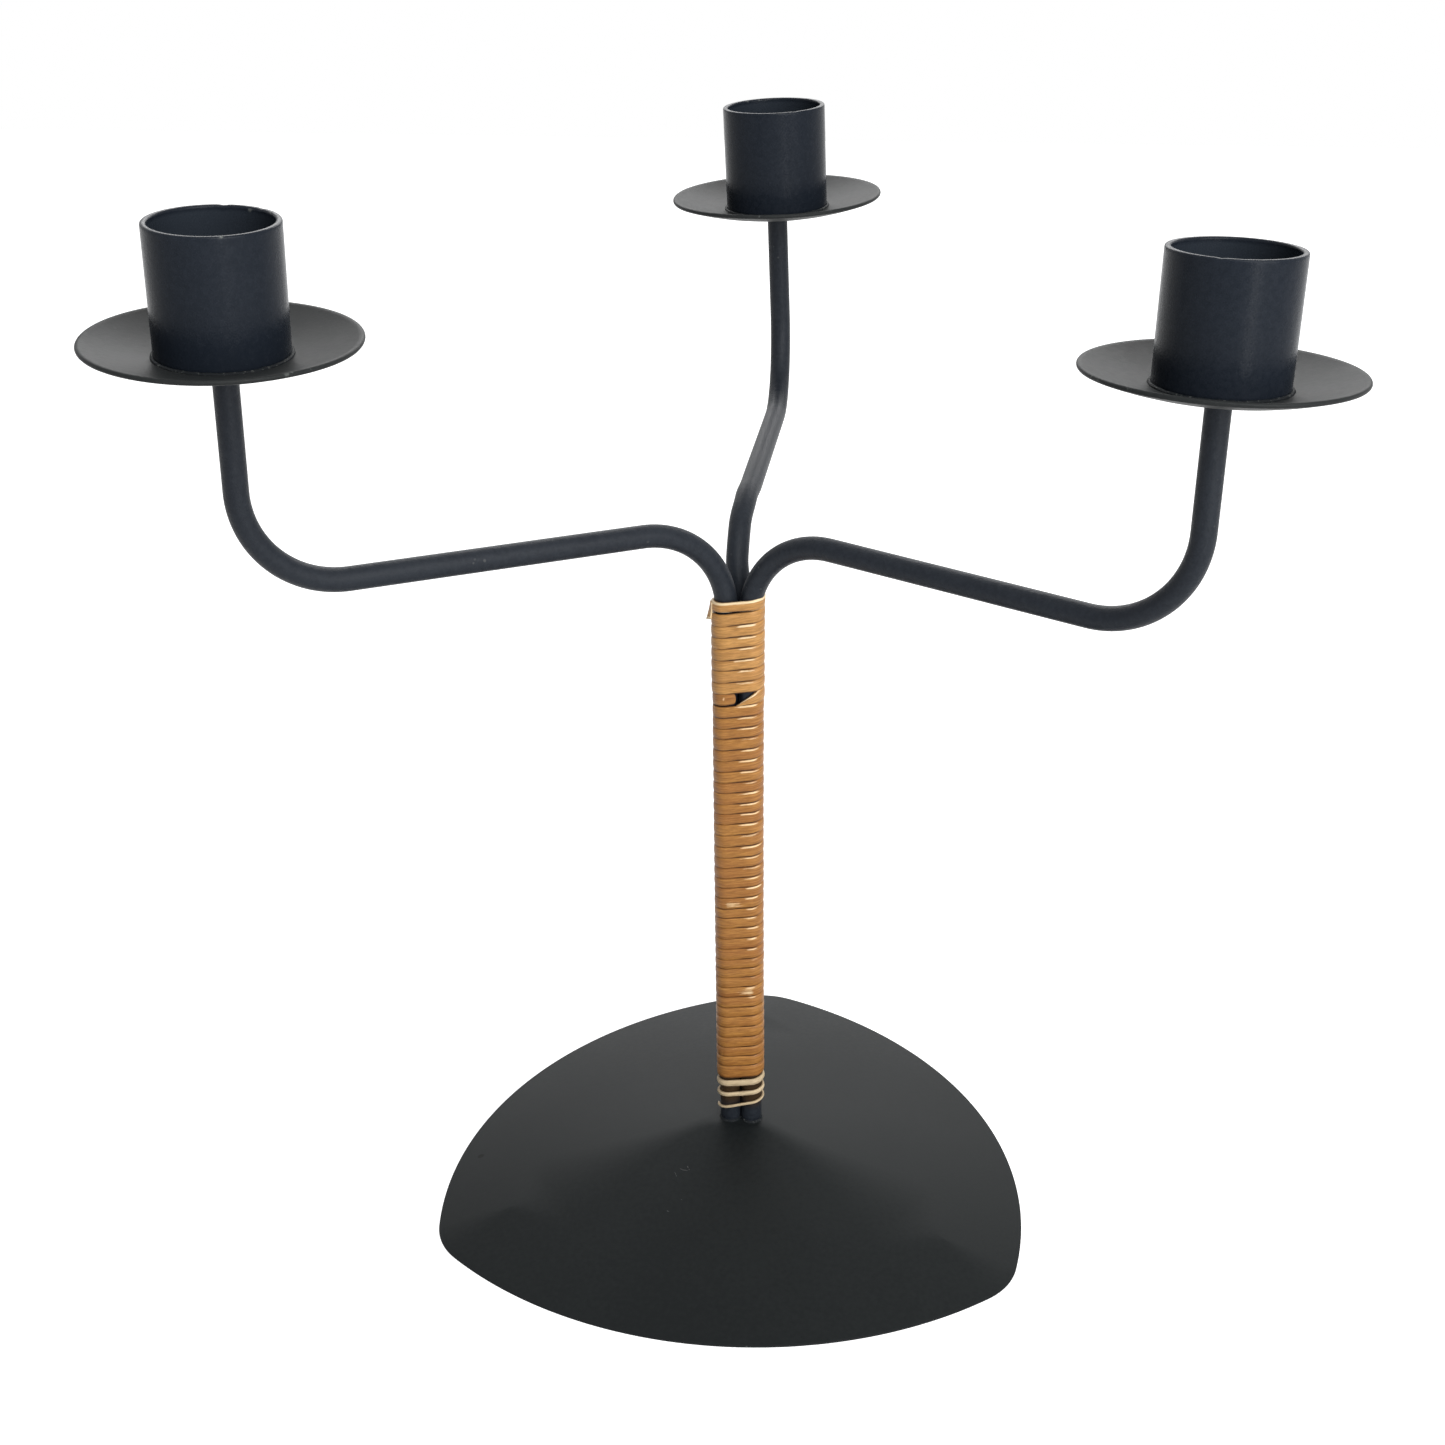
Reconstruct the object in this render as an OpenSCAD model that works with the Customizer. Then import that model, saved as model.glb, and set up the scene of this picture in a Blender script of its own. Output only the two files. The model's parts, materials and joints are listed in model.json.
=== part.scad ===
// Tabletop candelabra: three bent steel rods stand together as a stem on a pressed,
// three-cornered base. Split cane binds the stem. Each rod carries a dished drip pan
// and a candle cup.
// Frame: +Z up, origin on the table below the middle of the stem, back arm towards +Y.

/* [Base] */
// Distance from the stem to the tip of each corner of the base
base_corner_r = 76.5; // [74:0.5:82]
// Distance from the stem to the middle of each side of the base
base_side_r = 65.5; // [63:0.5:68]
// Radius of each corner, seen from above
base_corner_round = 18; // [13:0.5:22]
// Turn of the base about the stem, in degrees
base_turn = -1; // [-6:0.5:6]
// Height of the seat that the stem stands on
base_height = 15.5; // [12:0.5:20]
// Thickness of the pressed sheet
base_sheet = 1; // [0.9:0.1:1.6]
// Width of the flat edge that rests on the table
base_rest_w = 2; // [1.4:0.1:2.4]
// How much the sides steepen from the seat to the edge, in degrees
base_side_bend = 5; // [2:0.5:10]
// How far the rounded corners lie inside the sides that they run into
corner_step = 0.03; // [0.02:0.01:0.1]

/* [Rods] */
// Diameter of each rod
rod_d = 5; // [4:0.1:6]
// Gap left between neighbouring rods in the stem
rod_gap = 0.05; // [0.02:0.01:0.2]
// Height at which a rod turns outwards, on its centre line
arm_z = 168.5; // [160:0.5:178]
// Distance from the stem to each upright
arm_reach = 105; // [90:0.5:120]
// Height of the candle cups' feet
head_z = 216; // [212:0.5:235]
// Centre-line radius of the bend at the stem
lower_bend_r = 20; // [14:0.5:24]
// Centre-line radius of the bend at the upright
upper_bend_r = 21; // [14:0.5:24]
// How much thinner a rod is in its bends, on its radius
bend_thinning = 0.03; // [0.02:0.01:0.06]

/* [Hand bending, for the left, right and back rods] */
// Turn of each arm from its even third, in degrees
arm_turn = [1.5, 0.5, -1]; // [-3:0.5:3]
// What is added to the reach of each arm
arm_reach_more = [1.5, -1, 0]; // [-3:0.5:3]
// What is added to the height of each bend at the stem
knee_more = [0.5, -0.5, 0]; // [-2:0.5:2]
// What is added to the height of each bend at the upright
elbow_more = [3, -2, -1]; // [-4:0.5:4]
// Sideways lean of each upright, in degrees about the stem
upright_turn = [0.5, 1.5, 1]; // [-2:0.5:2]
// Outward lean of each upright, over its height
upright_lean = [-0.5, -0.5, 0]; // [-2:0.5:2]
// What is added to the height of each candle cup
head_more = [2.8, -0.8, -0.5]; // [-3:0.1:3]
// Tip of each pan and cup to the right, in degrees
head_tip_right = [1.8, 1.2, -2.4]; // [-3:0.1:3]
// Tip of each pan and cup to the back, in degrees
head_tip_back = [-1.8, 2.7, -0.4]; // [-3:0.1:3]

/* [Drip pans] */
// Radius of a drip pan
pan_r = 26; // [22:0.5:32]
// Thickness of the pan's sheet
pan_sheet = 1; // [0.8:0.1:1.5]
// How far the rounded rim stands proud of the sheet's faces
pan_rim_proud = 0.06; // [0.04:0.01:0.3]
// Height of the pan's rim above the foot of the cup
pan_dish = 3.5; // [1.5:0.25:5]
// Clearance round the rod where it passes through the pan
pan_hole_clear = 0.15; // [0.1:0.01:0.3]

/* [Candle cups] */
// Radius of the hole that takes the candle
cup_bore_r = 11.3; // [10:0.1:12.5]
// Thickness of the cup's wall
cup_wall = 1.2; // [0.8:0.1:1.8]
// Thickness of the cup's floor
cup_floor = 1.2; // [0.8:0.1:2]
// Height of the cup
cup_h = 24.7; // [18:0.1:32]

/* [Welds] */
// Radius of the bead round the foot of a cup
cup_bead_r = 0.7; // [0.5:0.1:1]
// Width of the fillet that joins a rod to the underside of its pan
rod_fillet = 0.9; // [0.5:0.1:1.5]
// Width of the fillet that joins the stem to the base
foot_fillet = 0.6; // [0.5:0.1:1.5]

/* [Cane binding] */
// Height of the close binding's lower end above the seat
cane_foot_gap = 12.1; // [10:0.1:20]
// Depth of the close binding's upper end below the turn of the rods
cane_top_gap = 14; // [12:0.5:24]
// Distance from one turn of the binding to the next
cane_pitch = 2.75; // [2.4:0.05:3.2]
// Gap between neighbouring turns
cane_gap = 0.1; // [0.05:0.01:0.2]
// Thickness of the strip at its edges
cane_edge_t = 0.5; // [0.3:0.05:0.6]
// How much thicker the strip is along its middle
cane_crown = 0.18; // [0.1:0.02:0.3]
// How much thicker the strip above the splice is
upper_more_t = 0.12; // [0:0.02:0.2]
// Full turns from the splice to the top of the binding
upper_turns = 8; // [4:1:12]
// Length of the rounded tip of the lower strip, at the splice
tip_len = 1.4; // [0.8:0.1:2]
// Width of the strand at the foot, where it leaves the binding
strand_w = 2.2; // [1.4:0.1:2.4]
// Width of the strand at its loose end
strand_end_w = 0.7; // [0.5:0.1:1]
// Thickness of the strand
strand_t = 0.7; // [0.5:0.05:0.9]
// Distance from one turn of the strand to the next
strand_pitch = 3.2; // [2.4:0.1:3.4]
// Turns of the strand
strand_turns = 2.7; // [1.7:0.5:2.7]
// Length of the cane's cut end, folded down over the top of the binding
tuck_len = 5; // [3.5:0.5:6]
// Width of the folded end
tuck_w = 2; // [1.4:0.1:2.4]
// How far the folded end stands off the binding
tuck_stand_off = 0.8; // [0.6:0.1:1.6]

/* [Hidden] */

$fn = 96;
paint = [0.13, 0.14, 0.15];
weld_tone = [0.17, 0.17, 0.17];
cane_tone = [0.72, 0.50, 0.29];
pale_cane = [0.80, 0.68, 0.50];

// The three rods, by place in the hand-bending lists
LEFT = 0;
RIGHT = 1;
BACK = 2;
even_turn = [210, 330, 90];

// Distance from the stem's middle to each rod's centre line, and to the bundle's flats
rod_r = rod_d / 2;
rod_pitch = rod_d + rod_gap;
bundle_r = rod_pitch / sqrt(3);
bundle_flat_r = bundle_r / 2 + rod_r;

// ---- base plan: side arcs that meet corner arcs without a kink ----
corner_mid = base_corner_r - base_corner_round;
side_depth = base_side_r - base_corner_round;
side_mid = (corner_mid * corner_mid - side_depth * side_depth) / (2 * side_depth - corner_mid);
side_arc_r = base_side_r + side_mid;
// Half the angle that a corner arc spans
corner_half = asin(side_mid * sin(60) / (side_arc_r - base_corner_round));

// ---- base section: one arc from the edge up to the seat, on the inside of the sheet ----
seat_r = bundle_flat_r + foot_fillet + 0.5;
inner_edge = [side_arc_r - base_rest_w, 0];
inner_seat = [side_mid + seat_r, base_height - base_sheet];
section_chord = norm(inner_seat - inner_edge);
section_dir = (inner_seat - inner_edge) / section_chord;
section_r = section_chord / (2 * sin(base_side_bend / 2));
section_mid = (inner_edge + inner_seat) / 2
    + [-section_dir[1], section_dir[0]] * section_r * cos(base_side_bend / 2);

// ---- arms ----
function polar(r, a, z) = [r * cos(a), r * sin(a), z];
function unit(v) = v / norm(v);
function turn_between(a, b) = acos(max(-1, min(1, unit(a) * unit(b))));

function lower_turn(k) = even_turn[k] + arm_turn[k];
function upper_turn(k) = lower_turn(k) + upright_turn[k];
function lower_reach(k) = arm_reach + arm_reach_more[k];

// Foot, lower corner, upper corner and head of rod k
function rod_path(k) = [
    polar(bundle_r, even_turn[k], base_height),
    polar(bundle_r, even_turn[k], arm_z + knee_more[k]),
    polar(lower_reach(k), lower_turn(k), arm_z + elbow_more[k]),
    polar(lower_reach(k) + upright_lean[k], upper_turn(k), head_z + head_more[k])
];
bend_r = [lower_bend_r, upper_bend_r];

// Length that the bend at corner i takes from each straight
function bend_cut(p, i) =
    bend_r[i - 1] * tan(turn_between(p[i] - p[i - 1], p[i + 1] - p[i]) / 2);

// ---- candle heads ----
cup_r = cup_bore_r + cup_wall;
// The pan's upper face is a sphere that passes under the cup's foot and through the rim
pan_mid_z = (pan_r * pan_r - cup_r * cup_r + pan_dish * pan_dish) / (2 * pan_dish);
pan_sphere_r = sqrt(cup_r * cup_r + pan_mid_z * pan_mid_z);
pan_rim_r = pan_sheet / 2 + pan_rim_proud;
pan_edge_a = asin((pan_r - pan_rim_r) / (pan_sphere_r + pan_sheet / 2));
// Width of the rod fillet's lower edge. A rod strays less than this from the pan's axis.
rod_fillet_land = 0.35;

// ---- cane ----
cane_w = cane_pitch - cane_gap;
ARC_STEPS = 4;
FLAT_STEPS = 2;
THIRD = ARC_STEPS + FLAT_STEPS;
TURN = 3 * THIRD;
arc_step_a = 120 / ARC_STEPS;
// The strip's inner corners stay clear of the rods between its facets
cane_seat_r = rod_r / cos(arc_step_a / 2) + 0.05;
arc_step_len = cane_seat_r * arc_step_a * PI / 180;
flat_step_len = rod_pitch / FLAT_STEPS;
third_len = ARC_STEPS * arc_step_len + FLAT_STEPS * flat_step_len;
turn_len = 3 * third_len;

// Lowest height at which a rod starts to turn outwards, and how far its outer side has
// moved out at height z
splay_z = min([for (k = [0 : 2]) rod_path(k)[1][2] - bend_cut(rod_path(k), 1)]);
outer_bend_r = lower_bend_r - rod_r;
function splay(z) = z <= splay_z ? 0
    : outer_bend_r - sqrt(outer_bend_r * outer_bend_r - pow(z - splay_z, 2));

// Steps at which the binding starts, is spliced and ends. The splice lies in the middle
// of the front flat, between the left and right rods.
cane_bottom_z = base_height + cane_foot_gap;
cane_turns = floor((arm_z - cane_top_gap - cane_bottom_z - cane_w) / cane_pitch) - 1;
front_step = 2 * THIRD - FLAT_STEPS / 2;
first_step = ARC_STEPS / 2;
splice_step = front_step + TURN * (cane_turns - upper_turns);
top_step = first_step + TURN * (cane_turns + 1);

// Length along the binding at step s
function along(s) =
    let (third = floor(s / THIRD), j = s - third * THIRD)
    third * third_len + min(j, ARC_STEPS) * arc_step_len
        + max(j - ARC_STEPS, 0) * flat_step_len;

// Point at step s of the bundle's outline, out from the strip's seat, at height z.
// Step 0 is where the strip comes on to the back rod, from the right.
function on_bundle(s, out, z) =
    let (
        third = floor(s / THIRD),
        j = s - third * THIRD,
        rod_a = 90 + 120 * third,
        mid = polar(bundle_r + splay(z), rod_a, z),
        next_mid = polar(bundle_r + splay(z), rod_a + 120, z),
        normal_a = rod_a - 60 + arc_step_a * min(j, ARC_STEPS),
        share = max(j - ARC_STEPS, 0) / FLAT_STEPS
    )
    mid + (next_mid - mid) * share + polar(cane_seat_r + out, normal_a, 0);

// One cross-section of the strip: low and high are its edges, up from its middle line
function strip_ring(s, z, low, high, edge_t, crown) = [
    on_bundle(s, 0, z + low),
    on_bundle(s, edge_t, z + low),
    on_bundle(s, edge_t + crown, z + (low + high) / 2),
    on_bundle(s, edge_t, z + high),
    on_bundle(s, 0, z + high)
];
RING = 5;

// ---- solids from rings ----
// Closed solid through a list of rings of n points each, all turning the same way
module sweep(rings, n) {
    last = len(rings) - 1;
    points = [for (ring = rings, p = ring) p];
    sides = [
        for (i = [0 : last - 1], j = [0 : n - 1])
            let (a = i * n + j, b = i * n + (j + 1) % n, c = a + n, d = b + n)
            each [[a, d, b], [a, c, d]]
    ];
    start_face = [for (j = [0 : n - 1]) j];
    end_face = [for (j = [n - 1 : -1 : 0]) last * n + j];
    polyhedron(points = points, faces = concat(sides, [start_face, end_face]), convexity = 10);
}

// ==================== base ====================

// Half section of the pressed form about the axis of a side, or of a corner, whose axis
// is `shift` closer to the edge. `skin` is its distance outside the sheet's inner face.
module base_section(shift, step_in, skin, bottom, top) {
    intersection() {
        translate([0, bottom])
            square([side_arc_r - shift - step_in, top - bottom]);
        translate(section_mid - [shift, 0])
            circle(r = section_r + skin - step_in, $fn = 720);
    }
}

// Three turned sides that cross in the ridges, with turned corners
module base_form(skin, bottom, top) {
    far = 2 * base_corner_r;
    overlap_a = 8;
    difference() {
        intersection_for(k = [0 : 2])
            rotate([0, 0, 120 * k + 30])
                translate([-side_mid, 0, 0])
                    rotate_extrude($fn = 240)
                        base_section(0, 0, skin, bottom, top);
        for (k = [0 : 2])
            rotate([0, 0, 120 * k + 90])
                translate([corner_mid, 0, bottom - 1])
                    linear_extrude(top - bottom + 2)
                        polygon([
                            [0, 0],
                            far * [cos(corner_half), -sin(corner_half)],
                            far * [cos(corner_half), sin(corner_half)]
                        ]);
    }
    for (k = [0 : 2])
        rotate([0, 0, 120 * k + 90])
            translate([corner_mid, 0, 0])
                rotate([0, 0, -corner_half - overlap_a])
                    rotate_extrude(angle = 2 * (corner_half + overlap_a))
                        base_section(side_arc_r - base_corner_round, corner_step, skin,
                            bottom, top);
}

module base_dome() {
    color(paint)
        rotate([0, 0, base_turn])
            difference() {
                base_form(base_sheet, 0, base_height);
                base_form(0, -1, base_height - base_sheet);
            }
}

// Fillet round the three rods where they stand on the seat
module foot_weld() {
    color(weld_tone)
        difference() {
            for (k = [0 : 2])
                translate(polar(bundle_r, even_turn[k], base_height))
                    cylinder(h = foot_fillet, r1 = rod_r + foot_fillet, r2 = rod_r + 0.2);
            for (k = [0 : 2])
                translate(polar(bundle_r, even_turn[k], base_height - 1))
                    cylinder(h = foot_fillet + 2, r = rod_r);
        }
}

// ==================== rods ====================

// Carries +Z on to the direction d, standing at p
module place_along(p, d) {
    translate(p)
        rotate([0, acos(unit(d)[2]), atan2(d[1], d[0])])
            children();
}

// Straight length from a to b. It runs on into a bend at either end, as far as it still
// covers the thinner bend.
module straight(a, b, on_at_a, on_at_b) {
    d = unit(b - a);
    function run_on(r) = 0.7 * sqrt(2 * r * bend_thinning);
    from = a - d * (on_at_a > 0 ? run_on(on_at_a) : 0);
    to = b + d * (on_at_b > 0 ? run_on(on_at_b) : 0);
    place_along(from, d)
        cylinder(h = norm(to - from), r = rod_r);
}

// Bend of path p at corner i, turned about the axis that is square to both straights
module bend(p, i) {
    d_in = unit(p[i] - p[i - 1]);
    d_out = unit(p[i + 1] - p[i]);
    axis = unit(cross(d_in, d_out));
    spoke = cross(d_in, axis);
    middle = p[i] - d_in * bend_cut(p, i) - spoke * bend_r[i - 1];
    multmatrix([
        [spoke[0], d_in[0], axis[0], middle[0]],
        [spoke[1], d_in[1], axis[1], middle[1]],
        [spoke[2], d_in[2], axis[2], middle[2]],
        [0, 0, 0, 1]
    ])
        rotate_extrude(angle = turn_between(d_in, d_out))
            translate([bend_r[i - 1], 0])
                circle(r = rod_r - bend_thinning);
}

// Its top end is cut to lie flat under the cup, which may be tipped
module bent_rod(k) {
    p = rod_path(k);
    d = [for (i = [0 : 2]) unit(p[i + 1] - p[i])];
    spare = rod_r;
    color(paint)
        difference() {
            union() {
                straight(p[0], p[1] - d[0] * bend_cut(p, 1), 0, bend_r[0]);
                bend(p, 1);
                straight(p[1] + d[1] * bend_cut(p, 1), p[2] - d[1] * bend_cut(p, 2),
                    bend_r[0], bend_r[1]);
                bend(p, 2);
                straight(p[2] + d[2] * bend_cut(p, 2), p[3] + d[2] * spare, bend_r[1], 0);
            }
            on_head(k)
                translate([-rod_d, -rod_d, 0])
                    cube([2 * rod_d, 2 * rod_d, 2 * spare]);
        }
}

// ==================== candle heads ====================

// Stands its children on the head of rod k, tipped as that pan and cup are
module on_head(k) {
    place_along(rod_path(k)[3], [tan(head_tip_right[k]), tan(head_tip_back[k]), 1])
        children();
}

module pan(k) {
    hole_r = rod_r + pan_hole_clear;
    mid_sphere_r = pan_sphere_r + pan_sheet / 2;
    on_head(k)
        color(paint)
            rotate_extrude() {
                intersection() {
                    translate([0, pan_mid_z])
                        difference() {
                            circle(r = pan_sphere_r + pan_sheet, $fn = 720);
                            circle(r = pan_sphere_r, $fn = 720);
                        }
                    translate([0, pan_mid_z])
                        polygon([
                            [0, 0],
                            [0, -2 * mid_sphere_r],
                            2 * mid_sphere_r * [sin(pan_edge_a), -cos(pan_edge_a)]
                        ]);
                    translate([hole_r, -pan_r])
                        square(2 * pan_r);
                }
                translate([0, pan_mid_z] + mid_sphere_r * [sin(pan_edge_a), -cos(pan_edge_a)])
                    circle(r = pan_rim_r);
            }
}

module cup(k) {
    lip_z = cup_h - cup_wall / 2;
    on_head(k)
        color(paint)
            rotate_extrude() {
                square([cup_r, cup_floor]);
                translate([cup_bore_r, 0])
                    square([cup_wall, lip_z]);
                translate([cup_bore_r + cup_wall / 2, lip_z])
                    circle(r = cup_wall / 2);
            }
}

// Height of the pan's face at radius r, above the foot of the cup: its upper face, or its
// lower face where sheet is the pan's thickness
function pan_face_z(r, sheet = 0) =
    pan_mid_z - sqrt(pow(pan_sphere_r + sheet, 2) - r * r);

// Bead in the corner between the cup's foot and the pan
module cup_weld(k) {
    outer_r = cup_r + 2 * cup_bead_r;
    on_head(k)
        color(weld_tone)
            rotate_extrude()
                intersection() {
                    translate([cup_r + cup_bead_r / 3, cup_bead_r / 3])
                        circle(r = cup_bead_r);
                    polygon([
                        [cup_r, pan_face_z(cup_r)],
                        [outer_r, pan_face_z(outer_r)],
                        [outer_r, 2 * cup_bead_r],
                        [cup_r, 2 * cup_bead_r]
                    ]);
                }
}

// Fillet between the rod and the underside of its pan
module rod_weld(k) {
    p = rod_path(k);
    inner_r = rod_r / 2;
    outer_r = rod_r + rod_fillet;
    color(weld_tone)
        difference() {
            on_head(k)
                rotate_extrude()
                    polygon([
                        [inner_r, pan_face_z(inner_r, pan_sheet)],
                        [inner_r, pan_face_z(rod_r, pan_sheet) - rod_fillet],
                        [rod_r + rod_fillet_land, pan_face_z(rod_r, pan_sheet) - rod_fillet],
                        [outer_r, pan_face_z(outer_r, pan_sheet)],
                        [rod_r, pan_face_z(rod_r, pan_sheet)]
                    ]);
            place_along(p[3], p[2] - p[3])
                cylinder(h = pan_dish + cup_r, r = rod_r);
        }
}

// ==================== cane ====================

// The close binding is one helix, which starts and ends at the back of the stem.
// Its middle line is this high at step s.
function binding_z(s) =
    cane_bottom_z + cane_w / 2 + cane_pitch * (along(s) - along(first_step)) / turn_len;

// From its first turn up to a rounded tip at the splice
module cane_lower() {
    tip_steps = tip_len / flat_step_len;
    tip = [for (t = [0 : 0.25 : 0.95]) [splice_step - tip_steps * (1 - t), sqrt(1 - t * t)]];
    body = [for (s = [first_step : 1 : splice_step - tip_steps - 0.1]) [s, 1]];
    color(cane_tone)
        sweep([
            for (q = concat(body, tip))
                strip_ring(q[0], binding_z(q[0]), -q[1] * cane_w / 2, q[1] * cane_w / 2,
                    cane_edge_t, cane_crown)
        ], RING);
}

// From a slanting cut at the splice up to the top
module cane_upper() {
    cut_steps = 3;
    narrowest = 0.06;
    function cut_share(s) = min(1, max(narrowest, (s - splice_step) / cut_steps));
    color(cane_tone)
        sweep([
            for (s = [splice_step + 0.15, for (i = [1 : top_step - splice_step]) splice_step + i])
                strip_ring(s, binding_z(s), -cane_w / 2, (cut_share(s) - 0.5) * cane_w,
                    cane_edge_t + upper_more_t, cane_crown)
        ], RING);
}

// Open turns of a narrow strand below the close binding, thinning to its loose end
module cane_strand() {
    steps = round(strand_turns * TURN);
    butt_gap = 0.1;
    function strand_s(i) = first_step - butt_gap - steps + i;
    function strand_half(i) = (strand_end_w + (strand_w - strand_end_w) * i / steps) / 2;
    function strand_z(i) = binding_z(first_step)
        - strand_pitch * (along(first_step) - along(strand_s(i))) / turn_len;
    color(pale_cane)
        sweep([
            for (i = [0 : steps])
                strip_ring(strand_s(i), strand_z(i), -strand_half(i), strand_half(i),
                    strand_t * 0.6, strand_t * 0.4)
        ], RING);
}

// Cut end of the cane, folded down over the outside of the top turn at the left. It leaves
// the strip at its upper edge, lies on it as far as the first bow, and then stands off.
module cane_tuck() {
    tuck_step = top_step - TURN + THIRD - 1;
    edge_z = binding_z(tuck_step) + cane_w / 2;
    root = on_bundle(tuck_step, cane_edge_t + upper_more_t, edge_z);
    bite = 0.05;
    bow_z = -0.4 * tuck_len;
    color(cane_tone)
        translate(root)
            rotate([90, 0, 180])
                linear_extrude(tuck_w, center = true)
                    polygon([
                        [-bite, 0],
                        [cane_edge_t, 0],
                        [cane_crown + cane_edge_t, bow_z],
                        [tuck_stand_off + cane_edge_t, -tuck_len],
                        [tuck_stand_off, -tuck_len],
                        [cane_crown - bite, bow_z - cane_edge_t],
                        [cane_crown - bite, -cane_w / 2]
                    ]);
}

base_dome();
foot_weld();
bent_rod(LEFT);  // rod_left
bent_rod(RIGHT);  // rod_right
bent_rod(BACK);  // rod_back
pan(LEFT);  // pan_left
pan(RIGHT);  // pan_right
pan(BACK);  // pan_back
rod_weld(LEFT);  // rod_weld_left
rod_weld(RIGHT);  // rod_weld_right
rod_weld(BACK);  // rod_weld_back
cup(LEFT);  // cup_left
cup(RIGHT);  // cup_right
cup(BACK);  // cup_back
cup_weld(LEFT);  // cup_weld_left
cup_weld(RIGHT);  // cup_weld_right
cup_weld(BACK);  // cup_weld_back
cane_lower();
cane_upper();
cane_strand();
cane_tuck();
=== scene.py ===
"""Dresses the candelabra: satin black paint on pressed and bent steel, and a split-cane binding."""

import json
import math

import bmesh
import bpy
from mathutils import Matrix, Vector, noise


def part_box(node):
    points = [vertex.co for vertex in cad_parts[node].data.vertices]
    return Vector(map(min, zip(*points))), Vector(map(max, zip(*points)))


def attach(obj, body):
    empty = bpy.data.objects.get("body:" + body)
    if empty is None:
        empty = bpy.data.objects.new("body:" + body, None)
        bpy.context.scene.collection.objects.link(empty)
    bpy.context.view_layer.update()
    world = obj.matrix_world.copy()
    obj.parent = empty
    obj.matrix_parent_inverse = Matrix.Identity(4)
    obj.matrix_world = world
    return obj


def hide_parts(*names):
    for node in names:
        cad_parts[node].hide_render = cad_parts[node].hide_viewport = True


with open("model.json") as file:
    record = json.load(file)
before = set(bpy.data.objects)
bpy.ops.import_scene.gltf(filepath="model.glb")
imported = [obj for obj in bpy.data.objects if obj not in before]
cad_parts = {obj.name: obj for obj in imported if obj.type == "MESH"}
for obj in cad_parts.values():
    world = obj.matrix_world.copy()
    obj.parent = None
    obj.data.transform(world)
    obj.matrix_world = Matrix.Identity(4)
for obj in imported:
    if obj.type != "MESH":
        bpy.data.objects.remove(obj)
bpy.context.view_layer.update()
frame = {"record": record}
scene = bpy.context.scene
MM = 0.001


# ---------------------------------------------------------------- sizes, in mm

# Pressed base, seen from above: three side arcs and three corner arcs
BASE_TURN = -1.0
CORNER_WAYS = (90, 210, 330)
SIDE_WAYS = (30, 150, 270)
CORNER_MID = 58.5
CORNER_R = 18.0
SIDE_R = 65.5
SIDE_MID = (CORNER_MID ** 2 - (SIDE_R - CORNER_R) ** 2) / (2 * (SIDE_R - CORNER_R) - CORNER_MID)
SIDE_ARC_R = SIDE_R + SIDE_MID
CORNER_HALF = math.asin(SIDE_MID * math.sin(math.radians(60)) / (SIDE_ARC_R - CORNER_R))
BASE_SHEET = 1.0
BASE_REST = 2.0
BASE_RIM = 0.22
SIDE_BEND = math.radians(5)
SEAT_MARGIN = 1.1
SEAT_SOFT = 0.25
RIDGE_SOFT, RIDGE_SOFTER = 0.6, 2.2
FOOT_BEVEL = 0.1

# Rods
ROD_R = 2.5
ROD_SPACING = 5.05
BUNDLE_R = ROD_SPACING / math.sqrt(3)
SEAT_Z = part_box("base_dome")[1].z / MM
SEAT_REACH = BUNDLE_R / 2 + ROD_R + SEAT_MARGIN
LEAN_TOP, LEAN = 150, 0.8
THIRDS = {"left": 210, "right": 330, "back": 90}
KNEES = {"left": 169.0, "right": 168.0, "back": 168.5}
ELBOWS = {"left": (106.5, 211.5, 171.5), "right": (104.0, 330.5, 166.5), "back": (105.0, 89.0, 167.5)}
KNEE_R, ELBOW_R = 20.0, 21.0
ROD_SUNK = 0.6
ROD_WAVES, ROD_UNEVEN, ROD_SLIMMER = 0.03, 0.006, 0.004
# Drift in x of the hand-bent back rod from its true line: (distance along it, drift)
BACK_DRIFT = ((136, 0), (144, -0.9), (152, -0.9), (160, -0.45), (170, -0.15), (235, 0))

# Heads
CUP_R, CUP_BORE, CUP_H, CUP_FLOOR = 12.5, 11.3, 24.7, 1.2
PAN_R, PAN_SHEET, PAN_DISH = 26.0, 1.0, 3.5
PAN_MID_Z = (PAN_R ** 2 - CUP_R ** 2 + PAN_DISH ** 2) / (2 * PAN_DISH)
PAN_SPHERE_R = math.hypot(CUP_R, PAN_MID_Z)
BEAD_R = 0.4
# Nicks in the cups' rims: (direction in degrees, half width, depth)
NICKS = {"left": ((97, 1.3, 0.16), (60, 0.8, 0.12)), "right": ((250, 1.2, 0.1),), "back": ((300, 1.0, 0.1),)}

# Cane. ARC and FLAT are the steps round each rod and across the flat between two rods
PITCH = 2.75
CANE_W = 2.65
CANE_ROOM = 0.05
CANE_SEAT = ROD_R / math.cos(math.radians(15)) + CANE_ROOM
CANE_BOTTOM = SEAT_Z + 12.1
TURN_GAP = 0.05
LOWER_THICK, UPPER_THICK, CROWN = 0.52, 0.7, 0.09
STRAND_PITCH, STRAND_TURNS, STRAND_THICK, STRAND_CROWN = 3.2, 2.74, 0.4, 0.26
ARC, FLAT = 16, 4
THIRD_STEPS = ARC + FLAT
TURN_STEPS = 3 * THIRD_STEPS


def polar(r, degrees, z=0.0):
    a = math.radians(degrees)
    return Vector((r * math.cos(a), r * math.sin(a), z))


def head_of(side):
    """Foot of the cup and the direction of its axis, from its socket in the record."""
    for mount in frame["record"]["mounts"]:
        if mount["name"] == "candle_socket_" + side:
            axis = Vector(mount["axis"]).normalized()
            reach = CUP_FLOOR + mount["dims"]["length_mm"] / 2
            return Vector(mount["pos_m"]) / MM - axis * reach, axis
    raise ValueError(side)


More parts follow.
